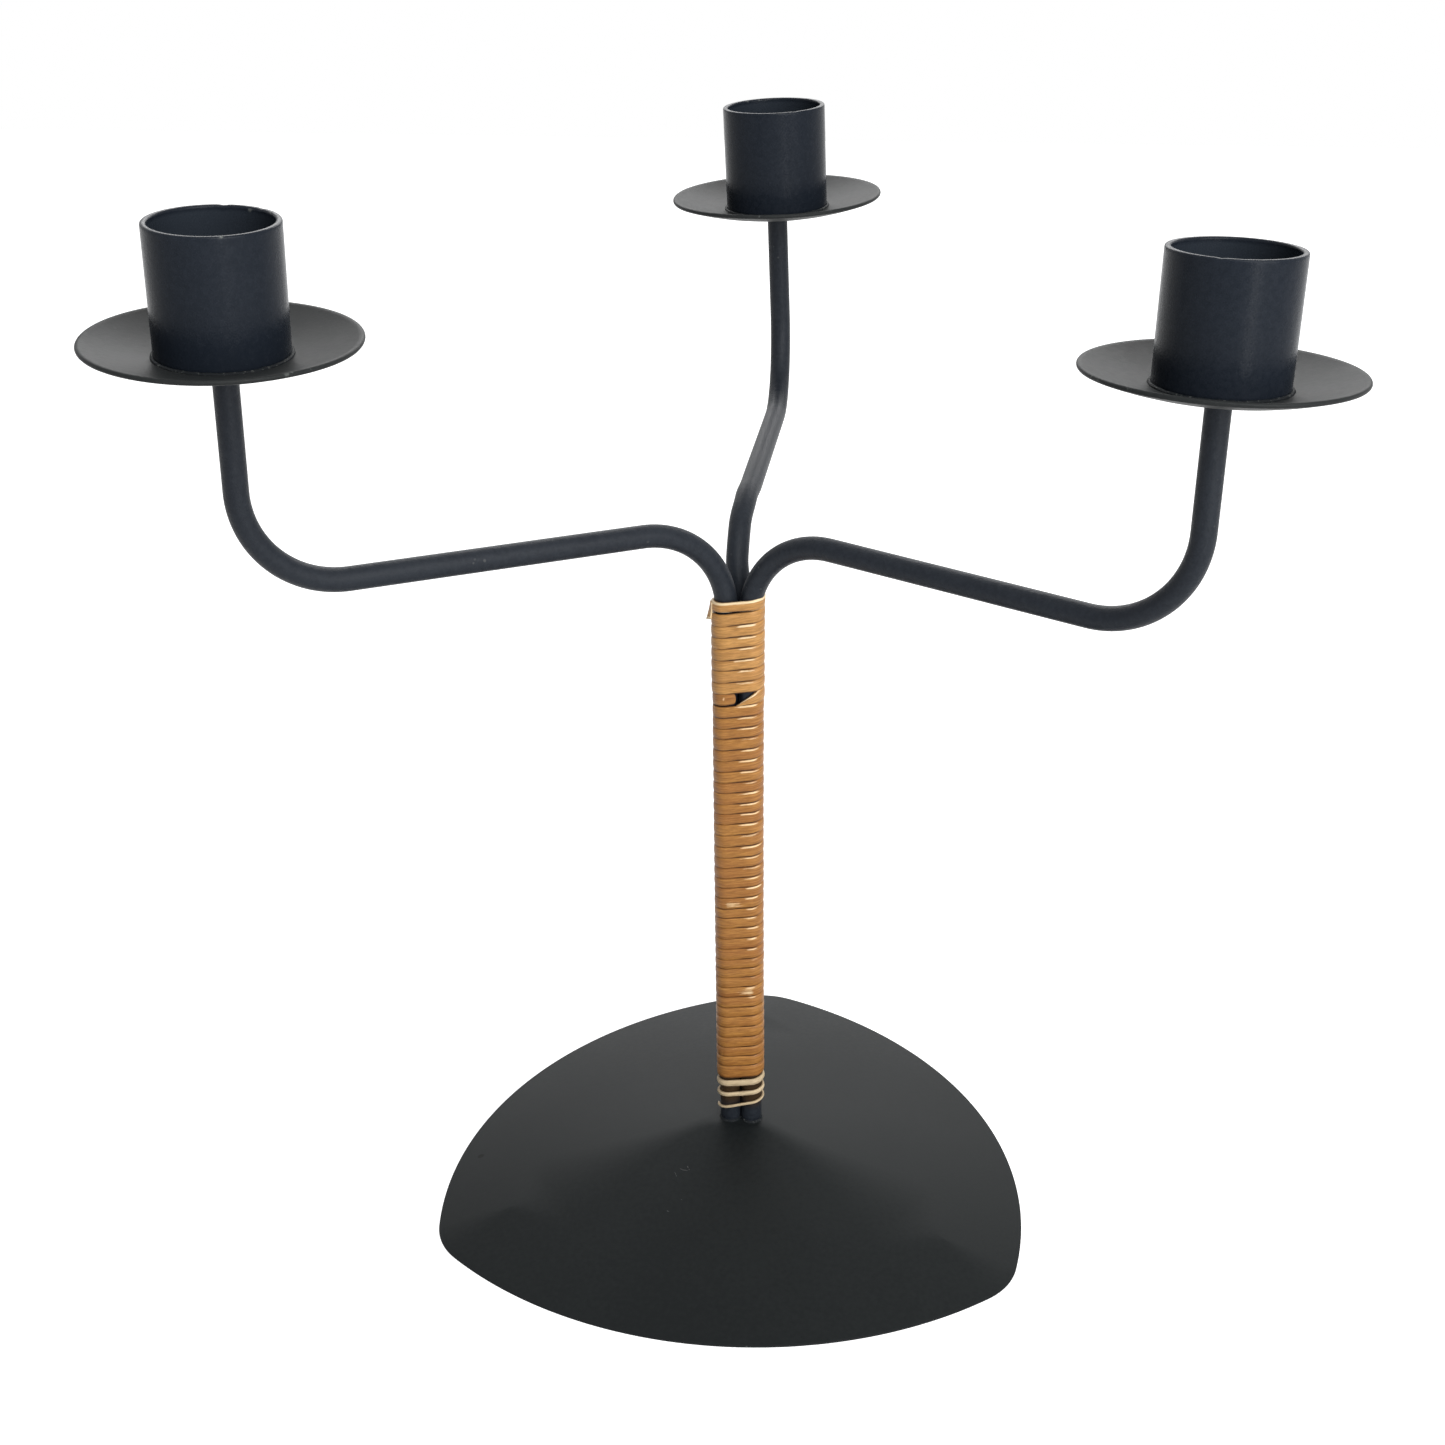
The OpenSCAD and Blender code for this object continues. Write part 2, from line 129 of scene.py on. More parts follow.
def stem_lean(z):
    """Sideways drift of the stem's foot: the rods stand a little to the right on the base."""
    low = max(0.0, min(1.0, (LEAN_TOP - z) / (LEAN_TOP - SEAT_Z)))
    return Vector((LEAN * low ** 1.6, 0, 0))


def smooth(a, b, x):
    """Eases from 0 at a to 1 at b; where a is above b, it falls instead of rising."""
    t = max(0.0, min(1.0, (x - a) / (b - a)))
    return t * t * (3 - 2 * t)


def wander(s, seed):
    """Smooth value in about -1..1 that drifts along s, on another course for each seed."""
    return noise.noise(Vector((s, seed * 7.31, seed * 1.7))) * 1.6


def round_noise(a, lumps, layer):
    """Smooth value in about -0.6..0.6 that closes on itself round the angle a."""
    return noise.noise(Vector((math.cos(a) * lumps, math.sin(a) * lumps, layer)))


# ---------------------------------------------------------------- shader helpers

def fill(tree, node, values):
    """Links each value that is a socket to the node's input and sets each one that is a constant."""
    for key, value in values.items():
        if isinstance(value, bpy.types.NodeSocket):
            tree.links.new(value, node.inputs[key])
        else:
            node.inputs[key].default_value = value


def put(tree, kind, inputs=None, **settings):
    made = tree.nodes.new("ShaderNode" + kind)
    for key, value in settings.items():
        setattr(made, key, value)
    fill(tree, made, inputs or {})
    return made


def math_node(tree, operation, a, b=0.0):
    return put(tree, "Math", {0: a, 1: b}, operation=operation).outputs[0]


def plus(tree, a, b):
    return math_node(tree, "ADD", a, b)


def times(tree, a, b):
    return math_node(tree, "MULTIPLY", a, b)


def stretch(tree, value, low, high):
    """Maps low..high on to 0..1 and clamps. Where low is above high, it falls instead of rising."""
    return put(tree, "MapRange", {"Value": value, "From Min": low, "From Max": high}).outputs[0]


def blend_colour(tree, share, a, b):
    """Goes from a to b as share goes from 0 to 1; each is a colour socket or three numbers."""
    a, b = (tone if isinstance(tone, bpy.types.NodeSocket) else (*tone, 1) for tone in (a, b))
    return put(tree, "Mix", {0: share, 6: a, 7: b}, data_type="RGBA").outputs[2]


def object_place(tree):
    return put(tree, "TexCoord").outputs["Object"]


def mesh_mark(tree, name):
    """Value that the mesh carries at each point, as add_piece gave it."""
    return put(tree, "Attribute", attribute_name=name).outputs["Fac"]


def noise_at(tree, place, scale, detail=2.0, roughness=0.5):
    return put(tree, "TexNoise", {"Vector": place, "Scale": scale, "Detail": detail,
                                  "Roughness": roughness}).outputs[0]


def relief(tree, strength, height, distance=0.3 * MM):
    return put(tree, "Bump", {"Strength": strength, "Distance": distance, "Height": height}).outputs[0]


def new_group(name, inputs, outputs):
    """A node group. inputs are (label, kind, value), and the labels in outputs all carry plain values."""
    tree = bpy.data.node_groups.new(name, "ShaderNodeTree")
    for label, kind, value in inputs:
        made = tree.interface.new_socket(label, in_out="INPUT", socket_type="NodeSocket" + kind)
        made.default_value = value
    for label in outputs:
        tree.interface.new_socket(label, in_out="OUTPUT", socket_type="NodeSocketFloat")
    return tree, tree.nodes.new("NodeGroupInput"), tree.nodes.new("NodeGroupOutput")


def use_group(tree, group, **values):
    made = tree.nodes.new("ShaderNodeGroup")
    made.node_tree = group
    fill(tree, made, {key.replace("_", " "): value for key, value in values.items()})
    return made


def paint_skin_group():
    """Sprayed paint: fine stipple, slow unevenness, and specks that settled on it from the air."""
    tree, gin, gout = new_group(
        "paint_skin",
        [("Stipple", "Float", 0.5), ("Unevenness", "Float", 0.5), ("Specks", "Float", 0.3)],
        ["Height", "Tone", "Dust"])
    place = object_place(tree)
    fine = noise_at(tree, place, 2600.0, detail=3.0, roughness=0.6)
    grit = noise_at(tree, place, 900.0)
    slow = noise_at(tree, place, 70.0)
    broad = noise_at(tree, place, 22.0, detail=3.0, roughness=0.55)
    stipple = times(tree, plus(tree, fine, grit), gin.outputs["Stipple"])
    uneven = times(tree, times(tree, slow, gin.outputs["Unevenness"]), 2.5)
    mottle = times(tree, plus(tree, broad, grit), 0.5)
    cells = put(tree, "TexVoronoi", {"Vector": place, "Scale": 420.0}).outputs["Distance"]
    spot = stretch(tree, cells, 0.16, 0.08)
    rare = stretch(tree, noise_at(tree, place, 160.0, detail=1.0), 0.58, 0.66)
    fill(tree, gout, {"Height": plus(tree, stipple, uneven),
                      "Tone": stretch(tree, mottle, 0.40, 0.60),
                      "Dust": times(tree, times(tree, spot, rare), gin.outputs["Specks"])})
    return tree


def edge_wear_group():
    """Broken pale wear where the mesh's edge mark is high."""
    tree, gin, gout = new_group("edge_wear", [("Amount", "Float", 0.5)], ["Mask"])
    place = object_place(tree)
    edge = mesh_mark(tree, "edge")
    rough = noise_at(tree, place, 500.0, detail=3.0)
    patch = noise_at(tree, place, 90.0)
    both = plus(tree, times(tree, rough, 0.5), times(tree, patch, 0.5))
    reach = times(tree, times(tree, edge, gin.outputs["Amount"]), 0.35)
    over = math_node(tree, "SUBTRACT", plus(tree, both, reach), 0.68)
    at_edge = stretch(tree, edge, 0.0, 0.1)
    fill(tree, gout, {"Mask": times(tree, stretch(tree, over, 0.0, 0.05), at_edge)})
    return tree


def scratch_group():
    """One short scratch: a fine broken line round a place, along a direction in the plan."""
    tree, gin, gout = new_group(
        "scratch",
        [("Middle", "Vector", (0, 0, 0)), ("Turn", "Float", 0.0), ("Half Length", "Float", 3 * MM)],
        ["Mask"])
    half_length, half_width, waviness = gin.outputs["Half Length"], 0.12 * MM, 0.8 * MM
    place = object_place(tree)
    away = put(tree, "VectorMath", {0: place, 1: gin.outputs["Middle"]}, operation="SUBTRACT").outputs[0]
    turned = put(tree, "VectorRotate", {"Vector": away, "Angle": gin.outputs["Turn"]},
                 rotation_type="Z_AXIS").outputs[0]
    parts = put(tree, "SeparateXYZ", {0: turned})
    wave = math_node(tree, "SUBTRACT", noise_at(tree, place, 700.0), 0.5)
    bent = plus(tree, parts.outputs[1], times(tree, wave, waviness))
    along_it = stretch(tree, math_node(tree, "ABSOLUTE", parts.outputs[0]),
                       half_length, times(tree, half_length, 0.7))
    across_it = stretch(tree, math_node(tree, "ABSOLUTE", bent), half_width, 0.0)
    broken = stretch(tree, noise_at(tree, place, 1500.0), 0.42, 0.55)
    fill(tree, gout, {"Mask": times(tree, times(tree, along_it, across_it), broken)})
    return tree


def cane_fibre_group():
    """Fibres that run along the strip, from the mesh's strip map: along in metres, across 0..1."""
    tree, gin, gout = new_group(
        "cane_fibre", [("Streaks", "Float", 1.0)], ["Fibre", "Fleck", "Patch", "Across", "Height"])
    strip = put(tree, "UVMap", uv_map="strip").outputs[0]

    def drawn_out(along_scale, across_scale, detail, roughness):
        """Noise drawn out along the strip: its lumps in a metre of strip and across the strip."""
        place = put(tree, "Mapping", {"Vector": strip, "Scale": (along_scale, across_scale, 1.0)}).outputs[0]
        return noise_at(tree, place, 1.0, detail, roughness)

    fibre = drawn_out(80.0, 11.0, detail=4.0, roughness=0.65)
    patch = drawn_out(24.0, 0.9, detail=3.0, roughness=0.6)
    fleck = drawn_out(300.0, 7.0, detail=3.0, roughness=0.7)
    fill(tree, gout, {"Fibre": stretch(tree, fibre, 0.32, 0.68),
                      "Fleck": stretch(tree, fleck, 0.38, 0.66),
                      "Patch": stretch(tree, patch, 0.38, 0.62),
                      "Across": put(tree, "SeparateXYZ", {0: strip}).outputs[1],
                      "Height": times(tree, fibre, gin.outputs["Streaks"])})
    return tree


paint_skin = paint_skin_group()
edge_wear = edge_wear_group()
scratch = scratch_group()
cane_fibre = cane_fibre_group()


# ---------------------------------------------------------------- materials

DUST = (0.16, 0.165, 0.16)
# Near black: painted shade inside a pit in the paint.
PIT_SHADE = (0.001, 0.001, 0.001)
# Brown painted on the rods as shade between the cane strand's turns.
STRAND_SHADE_BROWN = (0.042, 0.023, 0.010)
# Brown of the joints between cane turns, partly painted shade under the turn above.
SEAM_AND_SHADE_BROWN = (0.05, 0.016, 0.005)


def new_material(name):
    made = bpy.data.materials.new(name)
    made.use_nodes = True
    return made, made.node_tree, made.node_tree.nodes["Principled BSDF"]


def black_paint(name, colour, lighter, gloss, stipple, uneven, specks, bump, shine=0.1, wear=0.0,
                worn=(0.15, 0.16, 0.155), scratches=(), pock=None, dusty=None, shade_band=None):
    """Satin black paint. gloss is its roughness, worn the tone where the paint has worn through, scratches a
    row of (middle, turn in degrees, half length), pock a place in the plan where a pit is painted as a dark
    spot of shade, the next tone a paler one painted where the mesh marks a cup's lining, as painted light,
    and the last a band of heights, from and to, with its tone, painted as shade."""
    made, tree, shader = new_material(name)
    skin = use_group(tree, paint_skin, Stipple=stipple, Unevenness=uneven, Specks=specks)
    tone = blend_colour(tree, skin.outputs["Tone"], colour, lighter)
    # Paler tone where the mesh marks a cup's lining and floor: painted light inside the cup.
    if dusty:
        tone = blend_colour(tree, mesh_mark(tree, "dust"), tone, dusty)
    tone = blend_colour(tree, skin.outputs["Dust"], tone, DUST)
    mask = use_group(tree, edge_wear, Amount=wear).outputs["Mask"]
    for middle, turn, half_length in scratches:
        line = use_group(tree, scratch, Middle=[v * MM for v in middle], Turn=math.radians(turn),
                         Half_Length=half_length * MM).outputs["Mask"]
        mask = math_node(tree, "MAXIMUM", mask, line)
    tone = blend_colour(tree, mask, tone, worn)
    place = object_place(tree)
    # A dark spot painted at the pock: the shade inside a pit.
    if pock:
        plan = put(tree, "VectorMath", {0: place, 1: (1.0, 1.0, 0.0)}, operation="MULTIPLY").outputs[0]
        away = put(tree, "VectorMath", {0: plan, 1: [v * MM for v in pock]}, operation="DISTANCE")
        pit_shade = stretch(tree, away.outputs["Value"], 1.0 * MM, 0.6 * MM)
        tone = blend_colour(tree, pit_shade, tone, PIT_SHADE)
    # A band of heights painted in its own tone; on the rods it is brown painted shade between the strand's
    # turns.
    if shade_band:
        foot, top, shade_tone = shade_band
        height = put(tree, "SeparateXYZ", {0: place}).outputs[2]
        band = times(tree, stretch(tree, height, (foot - 1.5) * MM, (foot + 1.5) * MM),
                     stretch(tree, height, (top + 1) * MM, top * MM))
        tone = blend_colour(tree, band, tone, shade_tone)
    rough = plus(tree, times(tree, skin.outputs["Tone"], 0.05), gloss)
    fill(tree, shader, {"Base Color": tone,
                        "Roughness": plus(tree, rough, times(tree, mask, 0.1)),
                        "Specular IOR Level": shine,
                        "Normal": relief(tree, bump, skin.outputs["Height"])})
    return made


def weld_paint(name, colour, grain):
    """Black paint over a rough bead, with pale grains that caught no paint."""
    made, tree, shader = new_material(name)
    skin = use_group(tree, paint_skin, Stipple=1.0, Unevenness=1.0)
    lumps = noise_at(tree, object_place(tree), 1300.0, detail=4.0, roughness=0.7)
    height = plus(tree, lumps, times(tree, skin.outputs["Height"], 0.3))
    fill(tree, shader, {"Base Color": blend_colour(tree, stretch(tree, lumps, 0.57, 0.66), colour, grain),
                        "Roughness": 0.55,
                        "Specular IOR Level": 0.1,
                        "Normal": relief(tree, 0.55, height)})
    return made


def cane_skin(name, dark, mid, light, seam_and_shade_brown, worn, gloss, coat, streaks):
    """Split cane: amber skin with fine fibres, brown along its seams, partly as painted shade under each
    turn, and paler where it is worn and where highlights are painted on it.
    """
    made, tree, shader = new_material(name)
    cane = use_group(tree, cane_fibre, Streaks=streaks)
    fibre, fleck, across = (cane.outputs[label] for label in ("Fibre", "Fleck", "Across"))
    tone = blend_colour(tree, cane.outputs["Patch"], dark, mid)
    tone = blend_colour(tree, times(tree, fibre, 0.7), tone, light)
    tone = blend_colour(tree, times(tree, fleck, 0.65), tone, [v * 0.6 for v in dark])
    # Brown along the strip's edges where the mesh's seam mark is high: the dark joint, and painted shade
    # under each turn's lower edge.
    low_side = stretch(tree, across, 0.16, 0.07)
    high_side = times(tree, stretch(tree, across, 0.955, 0.99), 0.5)
    rim = times(tree, math_node(tree, "MAXIMUM", low_side, high_side), mesh_mark(tree, "seam"))
    tone = blend_colour(tree, rim, tone, seam_and_shade_brown)
    # The pale tone goes where the mesh's edge mark is high: wear, and on the winding also painted highlights
    # on the turns' upper edges.
    torn = plus(tree, times(tree, fibre, 0.3), times(tree, fleck, -0.45))
    wear_and_highlight_share = stretch(tree, plus(tree, mesh_mark(tree, "edge"), torn), 0.3, 0.8)
    fill(tree, shader, {"Base Color": blend_colour(tree, wear_and_highlight_share, tone, worn),
                        "Roughness": plus(tree, times(tree, fibre, 0.12), gloss),
                        "Specular IOR Level": 0.35,
                        "Coat Weight": coat,
                        "Coat Roughness": 0.22,
                        "Normal": relief(tree, 0.35, cane.outputs["Height"], distance=0.25 * MM)})
    return made


# pock is a pit shown as a dark spot of painted shade.
base_paint = black_paint(
    "base_paint", (0.0106, 0.0127, 0.0134), (0.0136, 0.0160, 0.0166), gloss=0.44, stipple=0.35, uneven=0.5,
    specks=0.0, bump=0.06, wear=0.12, worn=(0.11, 0.115, 0.115), pock=(-63.95, -5.87, 0),
    scratches=(((-13.2, -20.9, 0), 55, 0.8), ((-11.3, -19.5, 0), 20, 1.2), ((-10.2, -19.0, 0), 70, 0.7),
               ((-13.7, -31.6, 0), 0, 0.35), ((-10.7, -28.4, 0), 40, 0.35)))
# The band round 21 to 30 mm high is brown painted shade between the turns of the cane strand.
rod_paint = black_paint(
    "rod_paint", (0.0150, 0.0185, 0.0250), (0.0215, 0.0260, 0.0335), gloss=0.42, stipple=1.0, uneven=0.6,
    specks=0.3, bump=0.34, shine=0.15, shade_band=(21, 30, STRAND_SHADE_BROWN))
pan_paint = black_paint(
    "pan_paint", (0.021, 0.023, 0.0235), (0.025, 0.027, 0.0275), gloss=0.45, stipple=0.6, uneven=0.6,
    specks=0.06, bump=0.10, wear=0.1)
# The last tone here is painted light on the cup's lining and floor.
cup_paint = black_paint(
    "cup_paint", (0.0125, 0.0168, 0.0245), (0.0172, 0.0218, 0.0305), gloss=0.25, stipple=0.8, uneven=0.6,
    specks=0.0, bump=0.14, shine=0.09, wear=0.22, dusty=(0.029, 0.036, 0.047))
bead_paint = weld_paint("bead_paint", (0.010, 0.012, 0.014), (0.085, 0.09, 0.088))
# In each cane below, the tone after the seam brown is for wear, and on the winding also for the painted
# highlights on the turns' upper edges.
cane_amber = cane_skin(
    "cane_amber", (0.33, 0.115, 0.020), (0.475, 0.212, 0.039), (0.61, 0.29, 0.074),
    SEAM_AND_SHADE_BROWN, (1.0, 0.72, 0.40), gloss=0.42, coat=0.12, streaks=1.0)
cane_light = cane_skin(
    "cane_light", (0.47, 0.210, 0.050), (0.61, 0.300, 0.076), (0.78, 0.425, 0.148),
    SEAM_AND_SHADE_BROWN, (1.0, 0.78, 0.48), gloss=0.42, coat=0.12, streaks=1.0)
cane_pale = cane_skin(
    "cane_pale", (0.60, 0.43, 0.24), (0.78, 0.60, 0.37), (0.92, 0.78, 0.54),
    (0.22, 0.12, 0.055), (0.90, 0.78, 0.56), gloss=0.5, coat=0.0, streaks=1.3)


# ---------------------------------------------------------------- mesh helpers

def add_piece(name, points, faces, material, slot, nodes, strip=None, **marks):
    """Makes a mesh from points in mm, hangs it under the root body and hides the parts it stands for. Each
    mark is one value a point for its material to read, such as edge; strip is one (along, across) pair a
    point."""
    mesh = bpy.data.meshes.new(name)
    mesh.from_pydata([tuple(Vector(p) * MM) for p in points], [], faces)
    mesh.update()
    for label, values in marks.items():
        mesh.attributes.new(label, "FLOAT", "POINT").data.foreach_set("value", values)
    if strip is not None:
        uv = mesh.uv_layers.new(name="strip")
        for loop in mesh.loops:
            uv.data[loop.index].uv = strip[loop.vertex_index]
    work = bmesh.new()
    work.from_mesh(mesh)
    bmesh.ops.recalc_face_normals(work, faces=work.faces)
    work.to_mesh(mesh)
    work.free()
    mesh.polygons.foreach_set("use_smooth", [True] * len(mesh.polygons))
    piece = bpy.data.objects.new(name, mesh)
    scene.collection.objects.link(piece)
    mesh.materials.append(material)
    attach(piece, "root")
    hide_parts(*nodes)
    return piece


def grid_faces(rows, columns, closed_rows=False):
    """Faces between rings of points; closed_rows also joins the last ring to the first."""
    faces = []
    for i in range(rows if closed_rows else rows - 1):
        for j in range(columns):
            a, b = i * columns + j, i * columns + (j + 1) % columns
            c, d = ((i + 1) % rows) * columns + j, ((i + 1) % rows) * columns + (j + 1) % columns
            faces.append((a, b, d, c))
    return faces


def tube_faces(rows, columns):
    """Faces of an open tube of rings, with a flat face over each end."""
    ends = [tuple(range(columns - 1, -1, -1)), tuple(range((rows - 1) * columns, rows * columns))]
    return grid_faces(rows, columns) + ends


def flat_ends(piece):
    """Shades the many-sided end faces flat."""
    for face in piece.data.polygons:
        if len(face.vertices) > 4:
            face.use_smooth = False


def lathe(profile, turns, place):
    """A ring of points for each (r, z, ...) of the profile; place(r, z, angle) puts a point."""
    return [place(p[0], p[1], 2 * math.pi * j / turns) for p in profile for j in range(turns)]


# ---------------------------------------------------------------- base

def section_height(rho, skin):
    """Height of the pressed side at distance rho from its axis; skin is the sheet's thickness there."""
    inner_edge = Vector((SIDE_ARC_R - BASE_REST, 0))
    inner_seat = Vector((SIDE_MID + SEAT_REACH, SEAT_Z - BASE_SHEET))
    chord = (inner_seat - inner_edge).length
    along = (inner_seat - inner_edge) / chord
    radius = chord / (2 * math.sin(SIDE_BEND / 2))
    inwards = Vector((-along.y, along.x))
    middle = (inner_edge + inner_seat) / 2 + inwards * radius * math.cos(SIDE_BEND / 2)
    return middle.y + math.sqrt((radius + skin) ** 2 - (rho - middle.x) ** 2)


def soft_lower(a, b, width):
    """The lower of a and b, rounded where they are within width of each other."""
    near = max(width - abs(a - b), 0.0) / width
    return min(a, b) - near * near * width / 4


def press_height(x, y, skin):
    """Height of the base's outer or inner face over a place in its own, unturned plan."""
    here = Vector((x, y))
    reach = here.length
    seat = SEAT_Z - BASE_SHEET + skin
    for corner in CORNER_WAYS:
        out = polar(1, corner).xy
        spoke = here - out * CORNER_MID
        if spoke.length > 1e-6 and spoke.angle(out) < CORNER_HALF:
            return min(section_height(spoke.length + SIDE_ARC_R - CORNER_R, skin), seat)
    heights = sorted(section_height((here + polar(1, side).xy * SIDE_MID).length, skin)
                     for side in SIDE_WAYS)
    # The ridge where two sides meet is rounder away from the seat, and gone where the corner begins
    softness = RIDGE_SOFT + RIDGE_SOFTER * smooth(8, 58, reach)
    softness *= 1 - smooth(CORNER_MID - 10, CORNER_MID + 3, reach)
    z = soft_lower(heights[0], heights[1], softness) if softness > 0.01 else heights[0]
    return soft_lower(z, seat, SEAT_SOFT)


def base_outline(angle):
    """Distance from the stem to the base's edge in the direction of angle, in its own plan."""
    out = polar(1, angle).xy
    reach = 1e9
    for side in SIDE_WAYS:
        centre = polar(1, side).xy * -SIDE_MID
        along = out.dot(centre)
        reach = min(reach, along + math.sqrt(along ** 2 - centre.length_squared + SIDE_ARC_R ** 2))
    for corner in CORNER_WAYS:
        centre = polar(1, corner).xy * CORNER_MID
        along = out.dot(centre)
        inside = along ** 2 - centre.length_squared + CORNER_R ** 2
        if inside > 0:
            rounded = along + math.sqrt(inside)
            spoke = out * rounded - centre
            if along > 0 and spoke.angle(polar(1, corner).xy) < CORNER_HALF:
                reach = min(reach, rounded)
    return reach


def make_base():
    """Rings from the seat out over the rim and back under it, closer at the rim; its spokes stand closer
    together at the corners."""
    per_third, rings = 132, 62
    spoke_crowding, ring_crowding = 1.45, 0.92
    angles = []
    for corner in CORNER_WAYS:
        for i in range(per_third):
            t = 2 * i / per_third - 1
            angles.append(corner + 60 * math.copysign(abs(t) ** spoke_crowding, t))
    angles.sort()
    shares = [0.02 + 0.98 * (i / rings) ** ring_crowding for i in range(rings + 1)]
    turn = Matrix.Rotation(math.radians(BASE_TURN), 3, "Z")
    points, edge = [], []
    outline = [base_outline(a) for a in angles]

    def ring(reach_of, height_of, wear):
        for a, r in zip(angles, outline):
            here = polar(reach_of(r), a)
            points.append(turn @ Vector((here.x, here.y, height_of(here.x, here.y))))
            edge.append(wear)

    for share in shares:
        ring(lambda r: (r - BASE_RIM) * share, lambda x, y: press_height(x, y, BASE_SHEET), 0.0)
    for k in (0.35, 0.7, 1.0):
        out = BASE_RIM * math.sin(k * math.pi / 2)
        down = BASE_RIM * (1 - math.cos(k * math.pi / 2))

        def rolled(x, y):
            shrink = 1 - out / math.hypot(x, y)
            return press_height(x * shrink, y * shrink, BASE_SHEET) - down

        ring(lambda r: r - BASE_RIM + out, rolled, 1.0)
    ring(lambda r: r, lambda x, y: FOOT_BEVEL, 0.4)
    ring(lambda r: r - FOOT_BEVEL, lambda x, y: 0.0, 0.0)
    ring(lambda r: r - BASE_REST + FOOT_BEVEL, lambda x, y: 0.0, 0.0)
    for share in reversed(shares):
        ring(lambda r: (r - BASE_REST) * share, lambda x, y: max(press_height(x, y, 0.0), 0.0), 0.0)
    rows, columns = len(points) // len(angles), len(angles)
    faces = grid_faces(rows, columns)
    points.append(Vector((0, 0, SEAT_Z)))
    points.append(Vector((0, 0, SEAT_Z - BASE_SHEET)))
    edge += [0.0, 0.0]
    top, under, last = len(points) - 2, len(points) - 1, (rows - 1) * columns
    for j in range(columns):
        faces.append((top, (j + 1) % columns, j))
        faces.append((under, last + j, last + (j + 1) % columns))
    add_piece("pressed_base", points, faces, base_paint, "base_paint", ["base_dome"], edge=edge)


# ---------------------------------------------------------------- rods

def rod_line(side):
    """Points along the rod's middle, a millimetre or so apart."""
    head, _ = head_of(side)
    corners = [polar(BUNDLE_R, THIRDS[side], SEAT_Z), polar(BUNDLE_R, THIRDS[side], KNEES[side]),
               polar(*ELBOWS[side]), head]
    straight_step, bend_step = 1.5, 1.0
    line = []
    at = corners[0]
    for i, radius in ((1, KNEE_R), (2, ELBOW_R)):
        way_in = (corners[i] - corners[i - 1]).normalized()
        way_out = (corners[i + 1] - corners[i]).normalized()
        bend = way_in.angle(way_out)
        cut = radius * math.tan(bend / 2)
        start = corners[i] - way_in * cut
        spoke = way_in.cross(way_in.cross(way_out).normalized())
        middle = start - spoke * radius
        steps = int((start - at).length / straight_step)
        line += [at.lerp(start, t / steps) for t in range(steps)]
        steps = int(radius * bend / bend_step)
        for t in range(steps):
            a = bend * t / steps
            line.append(middle + (spoke * math.cos(a) + way_in * math.sin(a)) * radius)
        at = corners[i] + way_out * cut
    steps = int((head - at).length / straight_step)
    line += [at.lerp(head, t / steps) for t in range(steps + 1)]
    return line


def drift_at(side, s):
    """How far the rod is off its true line at the distance s along it."""
    if side == "back":
        for (start, here), (end, there) in zip(BACK_DRIFT, BACK_DRIFT[1:]):
            if start < s <= end:
                return Vector((here, 0, 0)).lerp(Vector((there, 0, 0)), smooth(start, end, s))
    return Vector((0, 0, 0))


def make_rod(side, seed):
    """Sweeps a circle along the rod, with its thickness a little uneven."""
    line = rod_line(side)
    travelled = [0.0]
    for low, high in zip(line, line[1:]):
        travelled.append(travelled[-1] + (high - low).length)
    line = [p + drift_at(side, d) + stem_lean(p.z) for p, d in zip(line, travelled)]
    line[0].z -= ROD_SUNK
    around = 40
    points = []
    normal = polar(1, THIRDS[side] + 90)
    for i, p in enumerate(line):
        ahead = (line[min(i + 1, len(line) - 1)] - line[max(i - 1, 0)]).normalized()
        normal = (normal - ahead * normal.dot(ahead)).normalized()
        other = ahead.cross(normal)
        uneven = 1 + ROD_UNEVEN * wander(travelled[i] * ROD_WAVES, seed) - ROD_SLIMMER
        for j in range(around):
            a = 2 * math.pi * j / around
            points.append(p + (normal * math.cos(a) + other * math.sin(a)) * ROD_R * uneven)
    flat_ends(add_piece("bent_rod_" + side, points, tube_faces(len(line), around), rod_paint, "rod_paint",
                        ["rod_" + side]))


# ---------------------------------------------------------------- pans and cups

def head_place(side):
    """Puts (r, z, angle) round the leaning axis of a head, with z up from the cup's foot."""
    foot, axis = head_of(side)
    across = (Vector((1, 0, 0)) - axis * axis.x).normalized()
    back = axis.cross(across)
    return lambda r, z, a: foot + axis * z + (across * math.cos(a) + back * math.sin(a)) * r


def pan_z(r, under=0.0):
    """Height of the dished pan at r, on its upper face or so far under it."""
    return PAN_MID_Z - math.sqrt((PAN_SPHERE_R + under) ** 2 - r * r)


